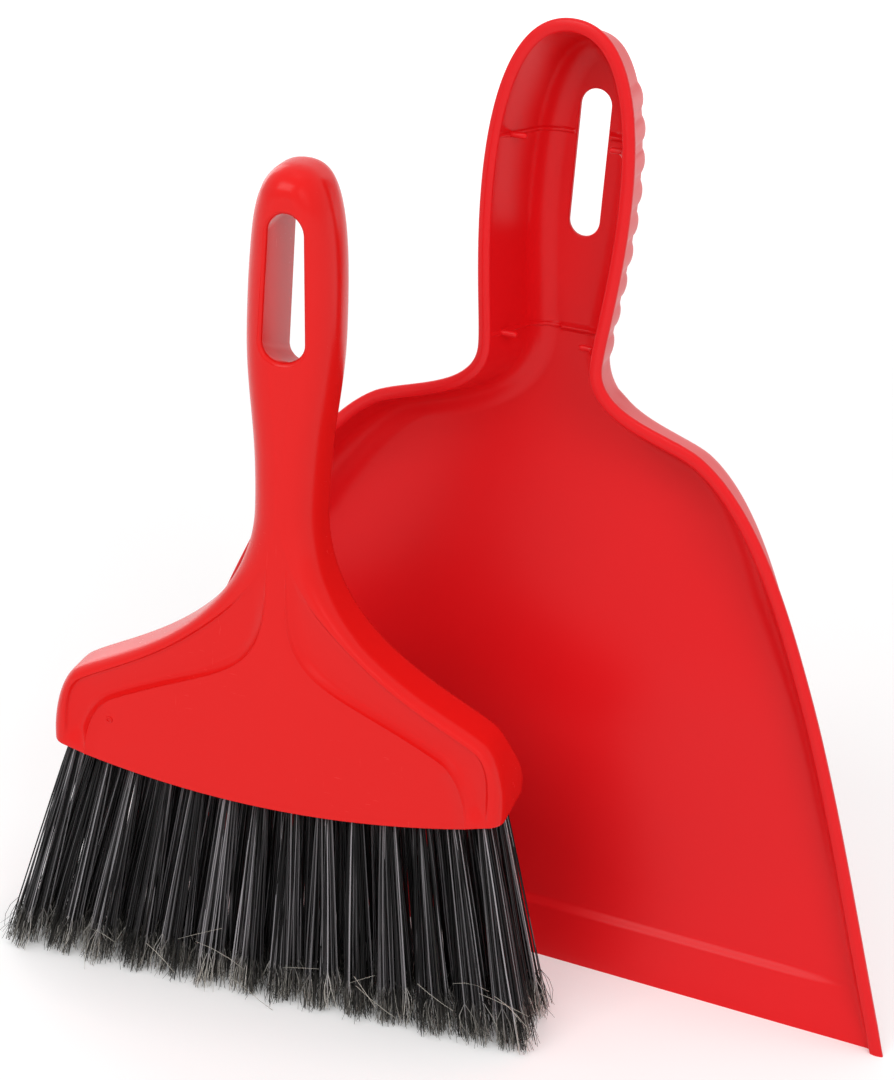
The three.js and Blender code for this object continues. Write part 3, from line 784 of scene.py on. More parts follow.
def bow(brush, x):
    """The bowed underside's height at x."""
    return brush.bow_radius - np.sqrt(brush.bow_radius**2 - x * x)


def panel_edge(brush):
    foot = brush.panel_width / 2
    bend = (brush.panel_bend_width / 2, brush.panel_bend_rise)
    neck = (brush.panel_waist_width / 2, PANEL_NECK_RISE)
    top = (brush.panel_waist_width / 2, WAIST_RISE)
    return Outline([
        span((foot, float(bow(brush, foot))), -1, 0.3, bend, 57, 0.327),
        span(bend, 62, 0.568, neck, 0, 0.479),
        span(neck, 0, 0.3, top, 0, 0.3),
    ], ends_on_middle=False)


def along_brush(height, block, flanks, handle, tip):
    """A size that changes from the block to the flanks, the handle and its tip."""
    value = eased(block, flanks, *TO_FLANKS, height)
    value = eased(value, handle, *TO_HANDLE, height)
    return eased(value, tip, *TO_TIP, height)


class BrushRows:
    """The rows of the brush body: each runs from the outline to the middle line."""

    def __init__(self, brush):
        outline = brush_outline(brush)
        self.brush = brush
        self.flank = outline.length_at(brush.flank_rise)
        self.waist = outline.length_at(WAIST_RISE)
        self.hollow_end = brush.slot_low - SLOT_FALL - HOLLOW_STOP
        along = outline.stations(self.spacing(outline))
        first = FOOT_ROUND * (1 - np.cos(arc_angles(FOOT_ROWS)))
        self.along = np.concatenate([first, along[along > FOOT_ROUND * FOOT_CLEAR]])
        self.points, self.out = outline.at(self.along)
        self.out[-1] = (0, 1)
        self.middle = self.middle_height(self.along, self.points, self.out)
        below = np.clip(1 - self.along / FOOT_ROUND, 0, 1)
        self.shrink = FOOT_ROUND * (1 - np.sqrt(1 - below**2))
        self.bowed = (1 - smooth(self.along, self.flank, self.flank + STRAIGHT_FROM))[:, None]
        y = self.points[:, 1]
        self.front_depth = along_brush(y, *FRONT_DEPTH)
        self.back_depth = along_brush(y, *BACK_DEPTH)
        room = np.where(y < ROUND_FREE_RISE, ROUND_MOST * self.points[:, 0], 1)
        self.front_round = np.minimum(along_brush(y, *FRONT_ROUND), room)
        self.front_fall = along_brush(y, *FRONT_FALL)
        self.back_round = np.minimum(along_brush(y, *BACK_ROUND), room)
        self.back_fall = along_brush(y, *BACK_FALL)

    def spacing(self, outline):
        """The rows' spacing: closer at the tip, the hollow's ends, the braces and the wings."""
        middle = self.middle_height(outline.along, outline.points, outline.out)
        height = outline.points[:, 1]
        spacing = np.where(height > TIP_ROWS_RISE, TIP_ROWS, BODY_ROWS)
        fine = [
            (ROOF_RISE, 1.3 * MM, 0.25 * MM),
            (self.hollow_end - ROOF_STEP / 2, 1.2 * MM, 0.3 * MM),
            *((place, 1.9 * MM, 0.3 * MM) for place in BRACES),
        ]
        spacing = finer_near(middle, spacing, fine)
        return finer_near(height, spacing, [(WING_LOW + 2 * MM, 3 * MM, 0.5 * MM)])

    def middle_height(self, along, points, out):
        """Where each row meets the middle line."""
        low = ROOF_RISE * along / self.flank
        share = np.clip((along - self.flank) / (self.waist - self.flank), 0, 1)
        reach = self.waist - self.flank
        start = ROOF_RISE / self.flank * reach
        s2, s3 = share**2, share**3
        rise = ROOF_RISE * (2 * s3 - 3 * s2 + 1) + WAIST_RISE * (3 * s2 - 2 * s3)
        rise = rise + start * (s3 - 2 * s2 + share) + reach * (s3 - s2)
        high = points[:, 1] - out[:, 1] * CAP_INSET * smooth(points[:, 1], *CAP_SPAN)
        return np.where(along < self.flank, low, np.where(along < self.waist, rise, high))

    def rounded(self, radius, fall, depth):
        """The columns over the rounded edge: x, height, height above the bow, and depth."""
        turn = arc_angles(ARC_COLUMNS)[None, :]
        inset = radius[:, None] * (1 - np.cos(turn)) + self.shrink[:, None]
        x = self.points[:, :1] - self.out[:, :1] * inset
        y = self.points[:, 1:] - self.out[:, 1:] * inset
        above = y - bow(self.brush, self.points[:, :1])
        deep = depth[:, None] - fall[:, None] * (1 - np.sin(turn)) - self.shrink[:, None]
        return x, y, above, deep

    def bent(self, x, y, above):
        """Heights that follow the bow low down and run straight higher up."""
        return mixed(y, bow(self.brush, x) + above, self.bowed)

    def middle_line(self):
        return [0 * self.middle, self.middle, self.middle]


def joined(start, end, share):
    """Columns between two lists of points, each as x, height and height above the bow."""
    return [mixed(a[:, None], b[:, None], share) for a, b in zip(start, end)]


def panel_line(rows, start, middle):
    """A point on the raised panel's edge for each row, as x, height and height above the bow."""
    edge = panel_edge(rows.brush)
    points, _out = edge.at(np.clip(rows.along / rows.waist, 0, 1) * edge.along[-1])
    x = np.minimum(points[:, 0], np.maximum(start[0] - PANEL_ROOM, PANEL_LEAST * start[0]))
    straight = mixed(start[1], middle[1], 1 - x / np.maximum(start[0], WELD))
    y = mixed(points[:, 1], straight, smooth(rows.along, rows.waist - PANEL_STRAIGHT, rows.waist))
    return [x, y, y - bow(rows.brush, x)]


def front_sheet(rows):
    """The front's columns: rounded edge, rim, sunk wing, the panel's flank and the panel."""
    x, y, above, deep = rows.rounded(rows.front_round, rows.front_fall, rows.front_depth)
    start = [x[:, -1], y[:, -1], above[:, -1]]
    middle = rows.middle_line()
    edge = panel_line(rows, start, middle)
    face = (rows.front_depth - rows.shrink)[:, None]

    gap = np.hypot(edge[0] - start[0], edge[1] - start[1])
    scale = np.minimum(1, SLOPES_MOST * gap / (RIM_FLAT + RIM_SLOPE + PANEL_SLOPE))
    gap = np.maximum(gap, WELD)
    rim = np.minimum(RIM_FLAT * scale / gap, 1)[:, None]
    outer = np.minimum((RIM_FLAT + RIM_SLOPE) * scale / gap, 1)[:, None]
    inner = 1 - np.minimum(PANEL_SLOPE * scale / gap, 1)[:, None]
    slope = np.linspace(0, 1, RIM_STEPS + 1)[None, 1:]
    floor = np.linspace(0, 1, WING_STEPS + 1)[None, 1:]
    climb = np.array(PANEL_STEPS)[None, :]
    share = np.hstack([rim, mixed(rim, outer, slope), mixed(outer, inner, floor), mixed(inner, 1, climb)])
    rim_fall = RIM_SHARE * smooth(slope, 0, 1)
    dish = RIM_SHARE + (1 - RIM_SHARE) * np.sin(math.pi / 2 * floor)
    profile = np.hstack([0 * rim[:1], rim_fall, dish, 1 - climb[:, :-1] ** PANEL_POWER, 0 * rim[:1]])
    sink = mixed(WING_LOW_SINK, rows.brush.wing_sink, smooth(rows.points[:, 1], WING_LOW, WING_FULL))
    sink = sink * (1 - smooth(rows.middle, *WING_END))
    side = joined(start, edge, share)
    side_deep = face - sink[:, None] * profile

    reach = np.maximum(np.hypot(edge[0], edge[1] - middle[1]), WELD)
    foot = np.minimum(BEAD_WIDTH / reach, BEAD_MOST_SHARE)[:, None]
    share = np.hstack([foot, mixed(foot, 1, np.linspace(0, 1, MIDDLE_COLUMNS)[None, 1:])])
    inside = joined(edge, middle, share)
    bead = BEAD_PROUD * (1 - smooth(rows.middle, WAIST_RISE - BEAD_FADE, WAIST_RISE))
    side_deep[:, -2:] += bead[:, None]

    sheet = [np.hstack(parts) for parts in zip((x, y, above), side, inside)]
    depth = -np.hstack([deep, side_deep, face + 0 * share])
    depth = depth + PANEL_CROWN * np.clip(sheet[0] / edge[0].max(), 0, 1) ** 2
    return sheet[0], depth, rows.bent(*sheet)


def back_sheet(rows):
    """The back's columns: rounded edge, ledge, and the hollow with its braces."""
    brush = rows.brush
    x, y, above, deep = rows.rounded(rows.back_round, rows.back_fall, rows.back_depth)
    start = [x[:, -1], y[:, -1], above[:, -1]]
    middle = rows.middle_line()
    gap = np.maximum(np.hypot(start[0], start[1] - middle[1]), WELD)
    ledge = np.maximum(brush.hollow_inset - rows.back_round, HOLLOW_LEDGE) / gap
    steps = np.minimum(ledge[:, None] + HOLLOW_STEPS[None, :] / gap[:, None], HOLLOW_MOST)
    rest = SIDE_COLUMNS + MIDDLE_COLUMNS - len(HOLLOW_STEPS)
    share = np.hstack([steps, mixed(steps[:, -1:], 1, np.linspace(0, 1, rest + 1)[None, 1:])])
    inside = joined(start, middle, share)
    sunk = np.concatenate([HOLLOW_SUNK, np.ones(rest)])[None, :]
    across = smooth(rows.middle, ROOF_RISE, ROOF_RISE + ROOF_STEP)
    across = across * (1 - smooth(rows.middle, rows.hollow_end - ROOF_STEP, rows.hollow_end))
    for place in BRACES:
        away = np.abs(rows.middle - place) - BRACE_HALF
        across = across * smooth(away, *BRACE_EDGE)
    skin = SKIN + brush.wing_sink * (1 - smooth(rows.middle, *SKIN_THINS))
    hollow = (rows.back_depth + rows.front_depth - skin)[:, None] * across[:, None] * sunk
    inside_deep = (rows.back_depth - rows.shrink)[:, None] - hollow
    sheet = [np.hstack(parts) for parts in zip((x, y, above), inside)]
    return sheet[0], np.hstack([deep, inside_deep]), rows.bent(*sheet)


def node_middle(name):
    low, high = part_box(name)
    return (Vector(low) + Vector(high)) / 2


def place_brush(bristles):
    """From the brush's frame to the scene, by the wire anchors of its tufts."""
    first, last = node_middle("tuft_anchor_01"), node_middle("tuft_anchor_14")
    centre = node_middle("tuft_anchor_21")
    turn = math.atan2(last.y - first.y, last.x - first.x)
    stand = Matrix.Translation((centre.x, centre.y, bristles.reach))
    return stand @ Matrix.Rotation(turn, 4, "Z")


def handle_faces(rows, x, z):
    """The depths of the handle's front and back surfaces beside the slot."""
    inset = np.interp(z, rows.points[:, 1], rows.points[:, 0]) - np.abs(x)
    depths = []
    for sizes in (
        (rows.front_round, rows.front_fall, rows.front_depth),
        (rows.back_round, rows.back_fall, rows.back_depth),
    ):
        radius, fall, depth = (np.interp(z, rows.points[:, 1], values) for values in sizes)
        cosine = np.clip(1 - inset / radius, 0, 1)
        depths.append(depth - fall * (1 - np.sqrt(1 - cosine**2)))
    return -depths[0], depths[1]


def brush_slot(rows):
    """The cutter of the hanging slot, with rolled lips; it opens downwards to the back."""
    brush = rows.brush
    levels = [(0, -CUTTER_REACH, FRONT_LIP + CUTTER_ROOM)]
    levels += [(0, sunk, grown) for sunk, grown in lip_curve(FRONT_LIP, 22, 7)]
    levels += [(1, -sunk, grown) for sunk, grown in reversed(lip_curve(BACK_LIP, 22, 7))]
    levels.append((1, CUTTER_REACH, BACK_LIP + CUTTER_ROOM))
    rings = []
    for end, sunk, grown in levels:
        low = brush.slot_low - end * SLOT_FALL
        high = brush.slot_high + end * SLOT_LIFT
        x, z = slot_ring(brush.slot_width - end * SLOT_NARROW, low, high, grown).T
        x = x * mixed(1 + SLOT_TAPER, 1 - SLOT_TAPER, np.clip((z - low) / (high - low), 0, 1))
        rings.append(np.column_stack([x, handle_faces(rows, x, z)[end] + sunk, z]))
    return tube_rings(np.array(rings))


def gate_ring(rows):
    """The small raised ring that the mould's gate leaves on the panel."""
    profile = full_turn(GATE_POINTS)
    out = GATE_RADIUS + GATE_HALF * np.cos(profile)
    depth = PANEL_CROWN / 2 - rows.front_depth[0] - GATE_PROUD * np.sin(profile)
    rings = [
        np.column_stack([GATE_AT[0] + out * math.cos(a), depth, GATE_AT[1] + out * math.sin(a)])
        for a in full_turn(GATE_SIDES)
    ]
    rings.append(rings[0])
    return np.vstack(rings), ring_faces(len(rings), GATE_POINTS)


def read_tufts(brush, placing):
    """Each tuft's row, angle along the bow and depth, from the wire anchors in the frame."""
    tufts = []
    for name in sorted(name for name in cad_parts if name.startswith("tuft_anchor_")):
        centre = placing.inverted() @ node_middle(name)
        tufts.append((centre.y, math.atan2(centre.x, brush.bow_radius - centre.z)))
    depths = sorted({round(depth, 4) for depth, _lean in tufts})
    return [(depths.index(round(depth, 4)), lean, depth) for depth, lean in tufts]


def tuft_holes(brush, bristles, tufts):
    """The cutters of the tufts' blind holes."""
    turn = full_turn(HOLE_SIDES)
    holes = []
    for _row, lean, depth in tufts:
        rings = []
        for rise, share in HOLE_RINGS:
            radius = bristles.hole * share
            away = brush.bow_radius - rise
            rings.append(np.column_stack([
                away * math.sin(lean) + radius * np.cos(turn) * math.cos(lean),
                depth + radius * np.sin(turn),
                brush.bow_radius - away * math.cos(lean) + radius * np.cos(turn) * math.sin(lean),
            ]))
        holes.append(tube_rings(np.array(rings)))
    return merged(holes)


def build_brush_body(brush, bristles):
    rows = BrushRows(brush)
    front, back = front_sheet(rows), back_sheet(rows)
    left_front, left_back = ((-x, depth, height) for x, depth, height in (front, back))
    rings = closed_rings(front, left_front, left_back, back)
    count, columns = rings.shape[:2]
    faces = ring_faces(count, columns)
    faces += [[k, columns - 1 - k, columns - 2 - k, k + 1] for k in range(columns // 2 - 1)]
    placing = place_brush(bristles)
    body = closed_piece("brush_body_shell", (rings.reshape(-1, 3), faces), placing)
    carve(body, closed_piece("slot", brush_slot(rows), placing))
    holes = tuft_holes(brush, bristles, read_tufts(brush, placing))
    carve(body, closed_piece("holes", holes, placing))
    smooth_shading(body)
    mark = closed_piece("gate_mark", gate_ring(rows), placing)
    mark.data.shade_smooth()
    return body, mark


# ---- Bristles --------------------------------------------------------------------------------
ROWS = ("front", "middle", "back")
SEED = 71
PATH_POINTS = 7
SPLIT_POINTS = 4
SPLIT_HAIRS = 3
FILAMENT_SIDES = 4
HAIR_SIDES = 3
FIRST_SIDE = 0.4               # the tubes' first corner, in radians
IN_HOLE = 4 * MM
ROOT_AREA = (0.02, 1)          # where in a tuft's round foot a filament starts, as a share
FLARE_POWER = 0.85
WIDER_ALONG_ROW = 0.95         # each tuft's spread along its row and across it
WIDER_ACROSS = 1.0
SPREAD_VARIES = (0.8, 1.2)
MIDDLE_FAN = 0.05              # the shorter middle row leans out a little more
STRAY_SHARE = 0.006            # these filaments spread further and are pale all along
STRAY_SPREAD = 1.3
DRIFT = 0.35                   # how far a tip strays round its tuft, in radians
UNEVEN = 0.9 * MM              # how much shorter the filaments may be
WAVE = 0.35 * MM
WAVE_TURNS = (0.5, 1.3)
OFF_FLOOR = 0.2 * MM
TIP_OFF_FLOOR = 0.05 * MM
THINNER_TIP = 0.55             # the share of its thickness that a filament loses in its split part
THICKNESS_VARIES = (0.85, 1.1)
HAIR_THICKNESS = 0.27 * MM
HAIR_TIP = 0.6                 # a hair's thickness at its tip, as a share
HAIR_FAN = 1.6 * MM
HAIR_RISE = 0.9                # hairs only fan upwards, by this share of their spread
HAIR_BEND = 1.3 * MM
HAIR_POWER = 1.3
LOOSE_FIBRES = 13              # pale fibres lying across the outside of the tips
LOOSE_THICKNESS = 0.24 * MM
LOOSE_TONE = 0.9               # among the palest filaments
LOOSE_OUT = (18 * MM, 20 * MM)  # how far out of the middle row they start and end
LOOSE_ALONG = 0.46             # how far along the row to each side, as a share of the block
LOOSE_FAN = 1.15               # they spread a little further than the row
LOOSE_DROP = (0.72, 0.9)       # shares of the tufts' length
LOOSE_SLANT = 0.9
LOOSE_LENGTH = (9, 20)         # in millimetres
LOOSE_BEND = 1.5 * MM
PALE_FROM = 0.84               # a filament turns pale over its last part, up to this share
PALE_MOST = 0.6
HAIR_PALE_FROM = 0.15
HAIR_PALE_POWER = 0.7


def filament_paths(brush, bristles, tuft, rng):
    """Paths of one tuft's filaments, as an array of filaments, points and x, y, z."""
    row, lean, depth = tuft
    count = bristles.filaments
    around = rng.uniform(0, 2 * math.pi, count)
    share = np.sqrt(rng.uniform(*ROOT_AREA, count))
    spread = share * bristles.tip_spread * rng.uniform(*SPREAD_VARIES, count)
    stray = rng.uniform(0, 1, count) < STRAY_SHARE
    spread = np.where(stray, spread * STRAY_SPREAD, spread)
    drift = around + rng.normal(0, DRIFT, count)
    short = np.abs(rng.normal(0, UNEVEN, count))
    wave = rng.normal(0, WAVE, (4, count, 1))
    phase = rng.uniform(0, 2 * math.pi, (2, count, 1))
    turns = rng.uniform(*WAVE_TURNS, (2, count, 1))
    t = np.linspace(0, 1, PATH_POINTS)[None, :]

    def strand(low, high, i):
        """One coordinate from the root to the tip, with its own slow wave."""
        sway = t * (wave[i] * np.sin(2 * math.pi * turns[i] * t + phase[i]) + wave[i + 2] * t)
        return mixed(low[:, None], high[:, None], t**FLARE_POWER) + sway

    root = share * bristles.root
    side = strand(root * np.cos(around), spread * WIDER_ALONG_ROW * np.cos(drift), 0)
    out = strand(root * np.sin(around), spread * WIDER_ACROSS * np.sin(drift), 1)
    out = out + depth * (1 + (bristles.row_flare - 1) * t) - bristles.forward * t
    reach = (brush.bow_radius + bristles.reach) / math.cos(lean) - brush.bow_radius
    away = brush.bow_radius + mixed(-IN_HOLE, reach - short[:, None], t)
    fan = MIDDLE_FAN if ROWS[row] == "middle" else 0
    turn = lean * (1 + fan * t) + side / away
    x = away * np.sin(turn)
    z = brush.bow_radius - away * np.cos(turn)
    return np.stack([x, out, np.maximum(z, OFF_FLOOR - bristles.reach)], axis=-1), stray


def tubes(paths, radii, sides):
    """Tubes along paths, closed at both ends, as points and faces."""
    count, steps = paths.shape[:2]
    turn = full_turn(sides) + FIRST_SIDE
    ring = np.stack([np.cos(turn), np.sin(turn), 0 * turn], axis=-1)
    points = paths[:, :, None, :] + radii[:, :, None, None] * ring[None, None, :, :]
    j = np.arange(steps - 1)[None, :, None] * sides
    k = np.arange(sides)[None, None, :]
    base = np.arange(count)[:, None, None] * steps * sides
    following = (k + 1) % sides
    quads = np.stack([
        base + j + k, base + j + sides + k, base + j + sides + following, base + j + following,
    ], axis=-1).reshape(-1, 4)
    first = np.arange(count)[:, None] * steps * sides + np.arange(sides)[None, :]
    caps = np.vstack([first, first[:, ::-1] + (steps - 1) * sides])
    return points.reshape(-1, 3), quads.tolist() + caps.tolist()


def split_ends(paths, bristles, rng):
    """Fine hairs that fan out of the last stretch of each filament."""
    at = (1 - bristles.split / bristles.reach) * (PATH_POINTS - 1)
    low = int(at)
    start = mixed(paths[:, low], paths[:, low + 1], at - low)
    t = np.linspace(0, 1, SPLIT_POINTS)[None, :, None]
    hairs = []
    for _ in range(SPLIT_HAIRS):
        fan = rng.normal(0, HAIR_FAN, (len(paths), 1, 3))
        fan[:, :, 2] = np.abs(fan[:, :, 2]) * HAIR_RISE
        bend = rng.normal(0, HAIR_BEND, (len(paths), 1, 3))
        bend[:, :, 2] = 0
        path = mixed(start[:, None], paths[:, -1:], t) + fan * t**HAIR_POWER + bend * np.sin(math.pi * t)
        hairs.append(path)
    return np.vstack(hairs)


def loose_fibres(brush, bristles, side, rng):
    """Paths of a few pale fibres that lie across the outside of the tips."""
    t = np.linspace(0, 1, SPLIT_POINTS)[None, :]
    one_each = (LOOSE_FIBRES, 1)
    along = rng.uniform(-LOOSE_ALONG, LOOSE_ALONG, one_each) * brush.block_width
    drop = bristles.reach * rng.uniform(*LOOSE_DROP, one_each)
    slant = rng.uniform(-LOOSE_SLANT, LOOSE_SLANT, one_each)
    long = rng.uniform(*LOOSE_LENGTH, one_each) * MM
    x = along * LOOSE_FAN + long * t * np.cos(slant)
    z = bow(brush, along) - drop + long * t * np.sin(slant)
    z = z + LOOSE_BEND * np.sin(math.pi * t) * rng.uniform(-1, 1, one_each)
    y = side * mixed(*LOOSE_OUT, t) - bristles.forward + 0 * x
    return np.stack([x, y, z], axis=-1)


def add_values(piece, label, *parts):
    """A value for each point, which the filaments' material reads."""
    attribute = piece.data.attributes.new(label, "FLOAT", "POINT")
    attribute.data.foreach_set("value", np.concatenate(parts).astype(np.float32))


def build_bristle_row(brush, bristles, tufts, row):
    placing = place_brush(bristles)
    rng = np.random.default_rng(SEED + row)
    planted = [filament_paths(brush, bristles, tuft, rng) for tuft in tufts if tuft[0] == row]
    paths, stray = (np.concatenate(parts) for parts in zip(*planted))
    shade = rng.uniform(0, 1, len(paths))
    along = np.linspace(0, 1, PATH_POINTS)
    split_at = 1 - bristles.split / bristles.reach
    hairs = split_ends(paths, bristles, rng)
    side = row - 1
    loose = loose_fibres(brush, bristles, side, rng) if side else hairs[:0]
    thick = bristles.thickness / 2 * (1 - THINNER_TIP * smooth(along, split_at, 1))
    thick = thick[None, :] * rng.uniform(*THICKNESS_VARIES, (len(paths), 1))
    fine = HAIR_THICKNESS / 2 * np.linspace(1, HAIR_TIP, SPLIT_POINTS)
    fine = np.vstack([np.tile(fine, (len(hairs), 1)), np.full(loose.shape[:2], LOOSE_THICKNESS / 2)])
    points, faces = merged((
        tubes(paths, thick, FILAMENT_SIDES), tubes(np.vstack([hairs, loose]), fine, HAIR_SIDES),
    ))
    points = moved(points, placing)
    points[:, 2] = np.maximum(points[:, 2], TIP_OFF_FLOOR)
    piece = new_piece(f"tufts_{ROWS[row]}", points, faces)
    piece.data.shade_smooth()

    on_filament, on_hair = PATH_POINTS * FILAMENT_SIDES, SPLIT_POINTS * HAIR_SIDES
    add_values(
        piece, "tone",
        np.repeat(shade, on_filament),
        np.repeat(np.resize(shade, len(hairs)), on_hair),
        np.full(len(loose) * on_hair, LOOSE_TONE),
    )
    pale = np.maximum(smooth(along, PALE_FROM, 1) * PALE_MOST, stray[:, None] * along)
    hair_pale = np.linspace(HAIR_PALE_FROM, 1, SPLIT_POINTS) ** HAIR_PALE_POWER
    add_values(
        piece, "tip",
        np.repeat(pale.ravel(), FILAMENT_SIDES),
        np.tile(np.repeat(hair_pale, HAIR_SIDES), len(hairs)),
        np.ones(len(loose) * on_hair),
    )
    return piece


# ---- Materials -------------------------------------------------------------------------------
# A filament's own tone, from 0 to 1, lifts its colour: power, gain and least lift
DARK_TONES = (5.0, 34.0, 0.25)
PALE_TONES = (4.0, 3.4, 0.12)
RUBS_UPRIGHT = (14, 14, 0.7)   # how the rub marks are squeezed along x, y and z
RUBS_LEVEL = (0.6, 14, 16)
FLECKS_ALONG = (1, 1, 0.15)
WIRE_LINES = (0.2, 1, 1)


def new_group(name, inputs, outputs):
    """A shader node group with its sockets, its input node and its output node."""
    group = bpy.data.node_groups.new(name, "ShaderNodeTree")
    for label, kind, default in inputs:
        socket = group.interface.new_socket(name=label, in_out="INPUT", socket_type=kind)
        socket.default_value = default
    for label, kind in outputs:
        group.interface.new_socket(name=label, in_out="OUTPUT", socket_type=kind)
    return group, group.nodes.new("NodeGroupInput"), group.nodes.new("NodeGroupOutput")


def node(tree, kind, values=(), **settings):
    """A node with its settings and the default values of its inputs."""
    made = tree.nodes.new(kind)
    for label, value in settings.items():
        setattr(made, label, value)
    for label, value in dict(values).items():
        made.inputs[label].default_value = value
    return made


def link(tree, *pairs):
    for source, target in pairs:
        tree.links.new(source, target)


def maths(tree, operation, first, second):
    made = node(tree, "ShaderNodeMath", operation=operation)
    for socket, value in zip(made.inputs, (first, second)):
        if isinstance(value, (int, float)):
            socket.default_value = value
        else:
            link(tree, (value, socket))
    return made.outputs[0]


def scaled(tree, value, factor, base):
    """A value times a factor, on top of a base value."""
    return maths(tree, "ADD", maths(tree, "MULTIPLY", value, factor), base)


def own_place(tree):
    """The object's own coordinates, in metres."""
    return node(tree, "ShaderNodeTexCoord").outputs["Object"]


def noise(tree, place, scale, detail, stretch=None):
    if stretch:
        squeeze = node(tree, "ShaderNodeMapping", {"Scale": stretch})
        link(tree, (place, squeeze.inputs["Vector"]))
        place = squeeze.outputs["Vector"]
    made = node(tree, "ShaderNodeTexNoise", {"Scale": scale, "Detail": detail})
    link(tree, (place, made.inputs["Vector"]))
    return made.outputs["Fac"]


def masked(tree, value, low, high):
    """0 below low, 1 above high and straight between them."""
    made = node(tree, "ShaderNodeMapRange", {"From Min": low, "From Max": high})
    link(tree, (value, made.inputs["Value"]))
    return made.outputs["Result"]


def flat_colour(tree, base):
    made = node(tree, "ShaderNodeRGB")
    made.outputs[0].default_value = (*base, 1)
    return made.outputs[0]


def tinted(tree, base, share):
    """A colour made lighter or darker by a share."""
    made = node(tree, "ShaderNodeVectorMath", operation="SCALE")
    link(tree, (base, made.inputs[0]), (share, made.inputs["Scale"]))
    return made.outputs["Vector"]


def moulded_plastic_group():
    """Glossy moulded plastic: cloudy colour, uneven gloss and a slightly wavy skin."""
    group, start, end = new_group(
        "moulded_plastic",
        [
            ("Color", "NodeSocketColor", (0.7, 0.02, 0.02, 1)),
            ("Cloud", "NodeSocketFloat", 0.05),
            ("Roughness", "NodeSocketFloat", 0.3),
            ("Unevenness", "NodeSocketFloat", 0.08),
        ],
        [
            ("Color", "NodeSocketColor"),
            ("Roughness", "NodeSocketFloat"),
            ("Height", "NodeSocketFloat"),
        ],
    )
    place = own_place(group)
    clouds = maths(group, "SUBTRACT", noise(group, place, scale=14, detail=2), 0.5)
    patches = maths(group, "SUBTRACT", noise(group, place, scale=55, detail=4), 0.5)
    tint = scaled(group, clouds, start.outputs["Cloud"], 1.0)
    uneven = scaled(group, patches, start.outputs["Unevenness"], start.outputs["Roughness"])
    waves = noise(group, place, scale=38, detail=2)
    skin = scaled(group, noise(group, place, scale=1400, detail=2), 0.012, waves)
    link(
        group,
        (tinted(group, start.outputs["Color"], tint), end.inputs["Color"]),
        (uneven, end.inputs["Roughness"]),
        (skin, end.inputs["Height"]),
    )
    return group


def rubbed_group():
    """Fine rub marks: a mask of thin crossing streaks that come and go."""
    group, start, end = new_group(
        "rub_marks",
        [("Amount", "NodeSocketFloat", 0.1)],
        [("Mask", "NodeSocketFloat")],
    )
    place = own_place(group)
    upright = noise(group, place, scale=90, detail=3, stretch=RUBS_UPRIGHT)
    level = noise(group, place, scale=90, detail=3, stretch=RUBS_LEVEL)
    thin = masked(group, maths(group, "MAXIMUM", upright, level), 0.66, 0.74)
    where = masked(group, noise(group, place, scale=22, detail=2), 0.45, 0.65)
    mask = maths(group, "MULTIPLY", thin, where)
    link(group, (maths(group, "MULTIPLY", mask, start.outputs["Amount"]), end.inputs["Mask"]))
    return group


def new_material(name, values):
    """A material, its nodes and its principled shader with these values."""
    material = bpy.data.materials.new(name)
    material.use_nodes = True
    tree = material.node_tree
    shader = next(n for n in tree.nodes if n.type == "BSDF_PRINCIPLED")
    for label, value in values.items():
        shader.inputs[label].default_value = value
    return tree, shader


def plastic_material(name, base, roughness, specular, cloud, rubbed):
    """One of the two red plastics."""
    tree, shader = new_material(name, {"Specular IOR Level": specular})
    finish = node(tree, "ShaderNodeGroup", node_tree=bpy.data.node_groups["moulded_plastic"])
    for label, value in (("Color", (*base, 1)), ("Cloud", cloud), ("Roughness", roughness)):
        finish.inputs[label].default_value = value
    marks = node(tree, "ShaderNodeGroup", node_tree=bpy.data.node_groups["rub_marks"])
    marks.inputs["Amount"].default_value = rubbed
    relief = node(tree, "ShaderNodeBump", {"Strength": 0.35, "Distance": 0.12 * MM})
    link(
        tree,
        (finish.outputs["Color"], shader.inputs["Base Color"]),
        (maths(tree, "ADD", finish.outputs["Roughness"], marks.outputs["Mask"]), shader.inputs["Roughness"]),
        (finish.outputs["Height"], relief.inputs["Height"]),
        (relief.outputs["Normal"], shader.inputs["Normal"]),
    )


def bristle_material(finish):
    """Dark filaments, a few of them pale, with paler and duller tips."""
    tree, shader = new_material("bristle_filament", {"Specular IOR Level": 0.22})
    tone = node(tree, "ShaderNodeAttribute", attribute_name="tone").outputs["Fac"]
    tip = node(tree, "ShaderNodeAttribute", attribute_name="tip").outputs["Fac"]

    def lifted(base, tones):
        power, gain, least = tones
        lift = scaled(tree, maths(tree, "POWER", tone, power), gain, least)
        return tinted(tree, flat_colour(tree, base), lift)

    mix = node(tree, "ShaderNodeMix", data_type="RGBA")
    share = next(socket for socket in mix.inputs if socket.type == "VALUE")
    first, second = (socket for socket in mix.inputs if socket.type == "RGBA")
    mixed_colour = next(socket for socket in mix.outputs if socket.type == "RGBA")
    flecks = noise(tree, own_place(tree), scale=700, detail=2, stretch=FLECKS_ALONG)
    link(
        tree,
        (tip, share),
        (lifted(finish.bristle_dark, DARK_TONES), first),
        (lifted(finish.bristle_tip, PALE_TONES), second),
        (mixed_colour, shader.inputs["Base Color"]),
        (scaled(tree, tip, 0.3, scaled(tree, flecks, 0.2, 0.24)), shader.inputs["Roughness"]),
    )


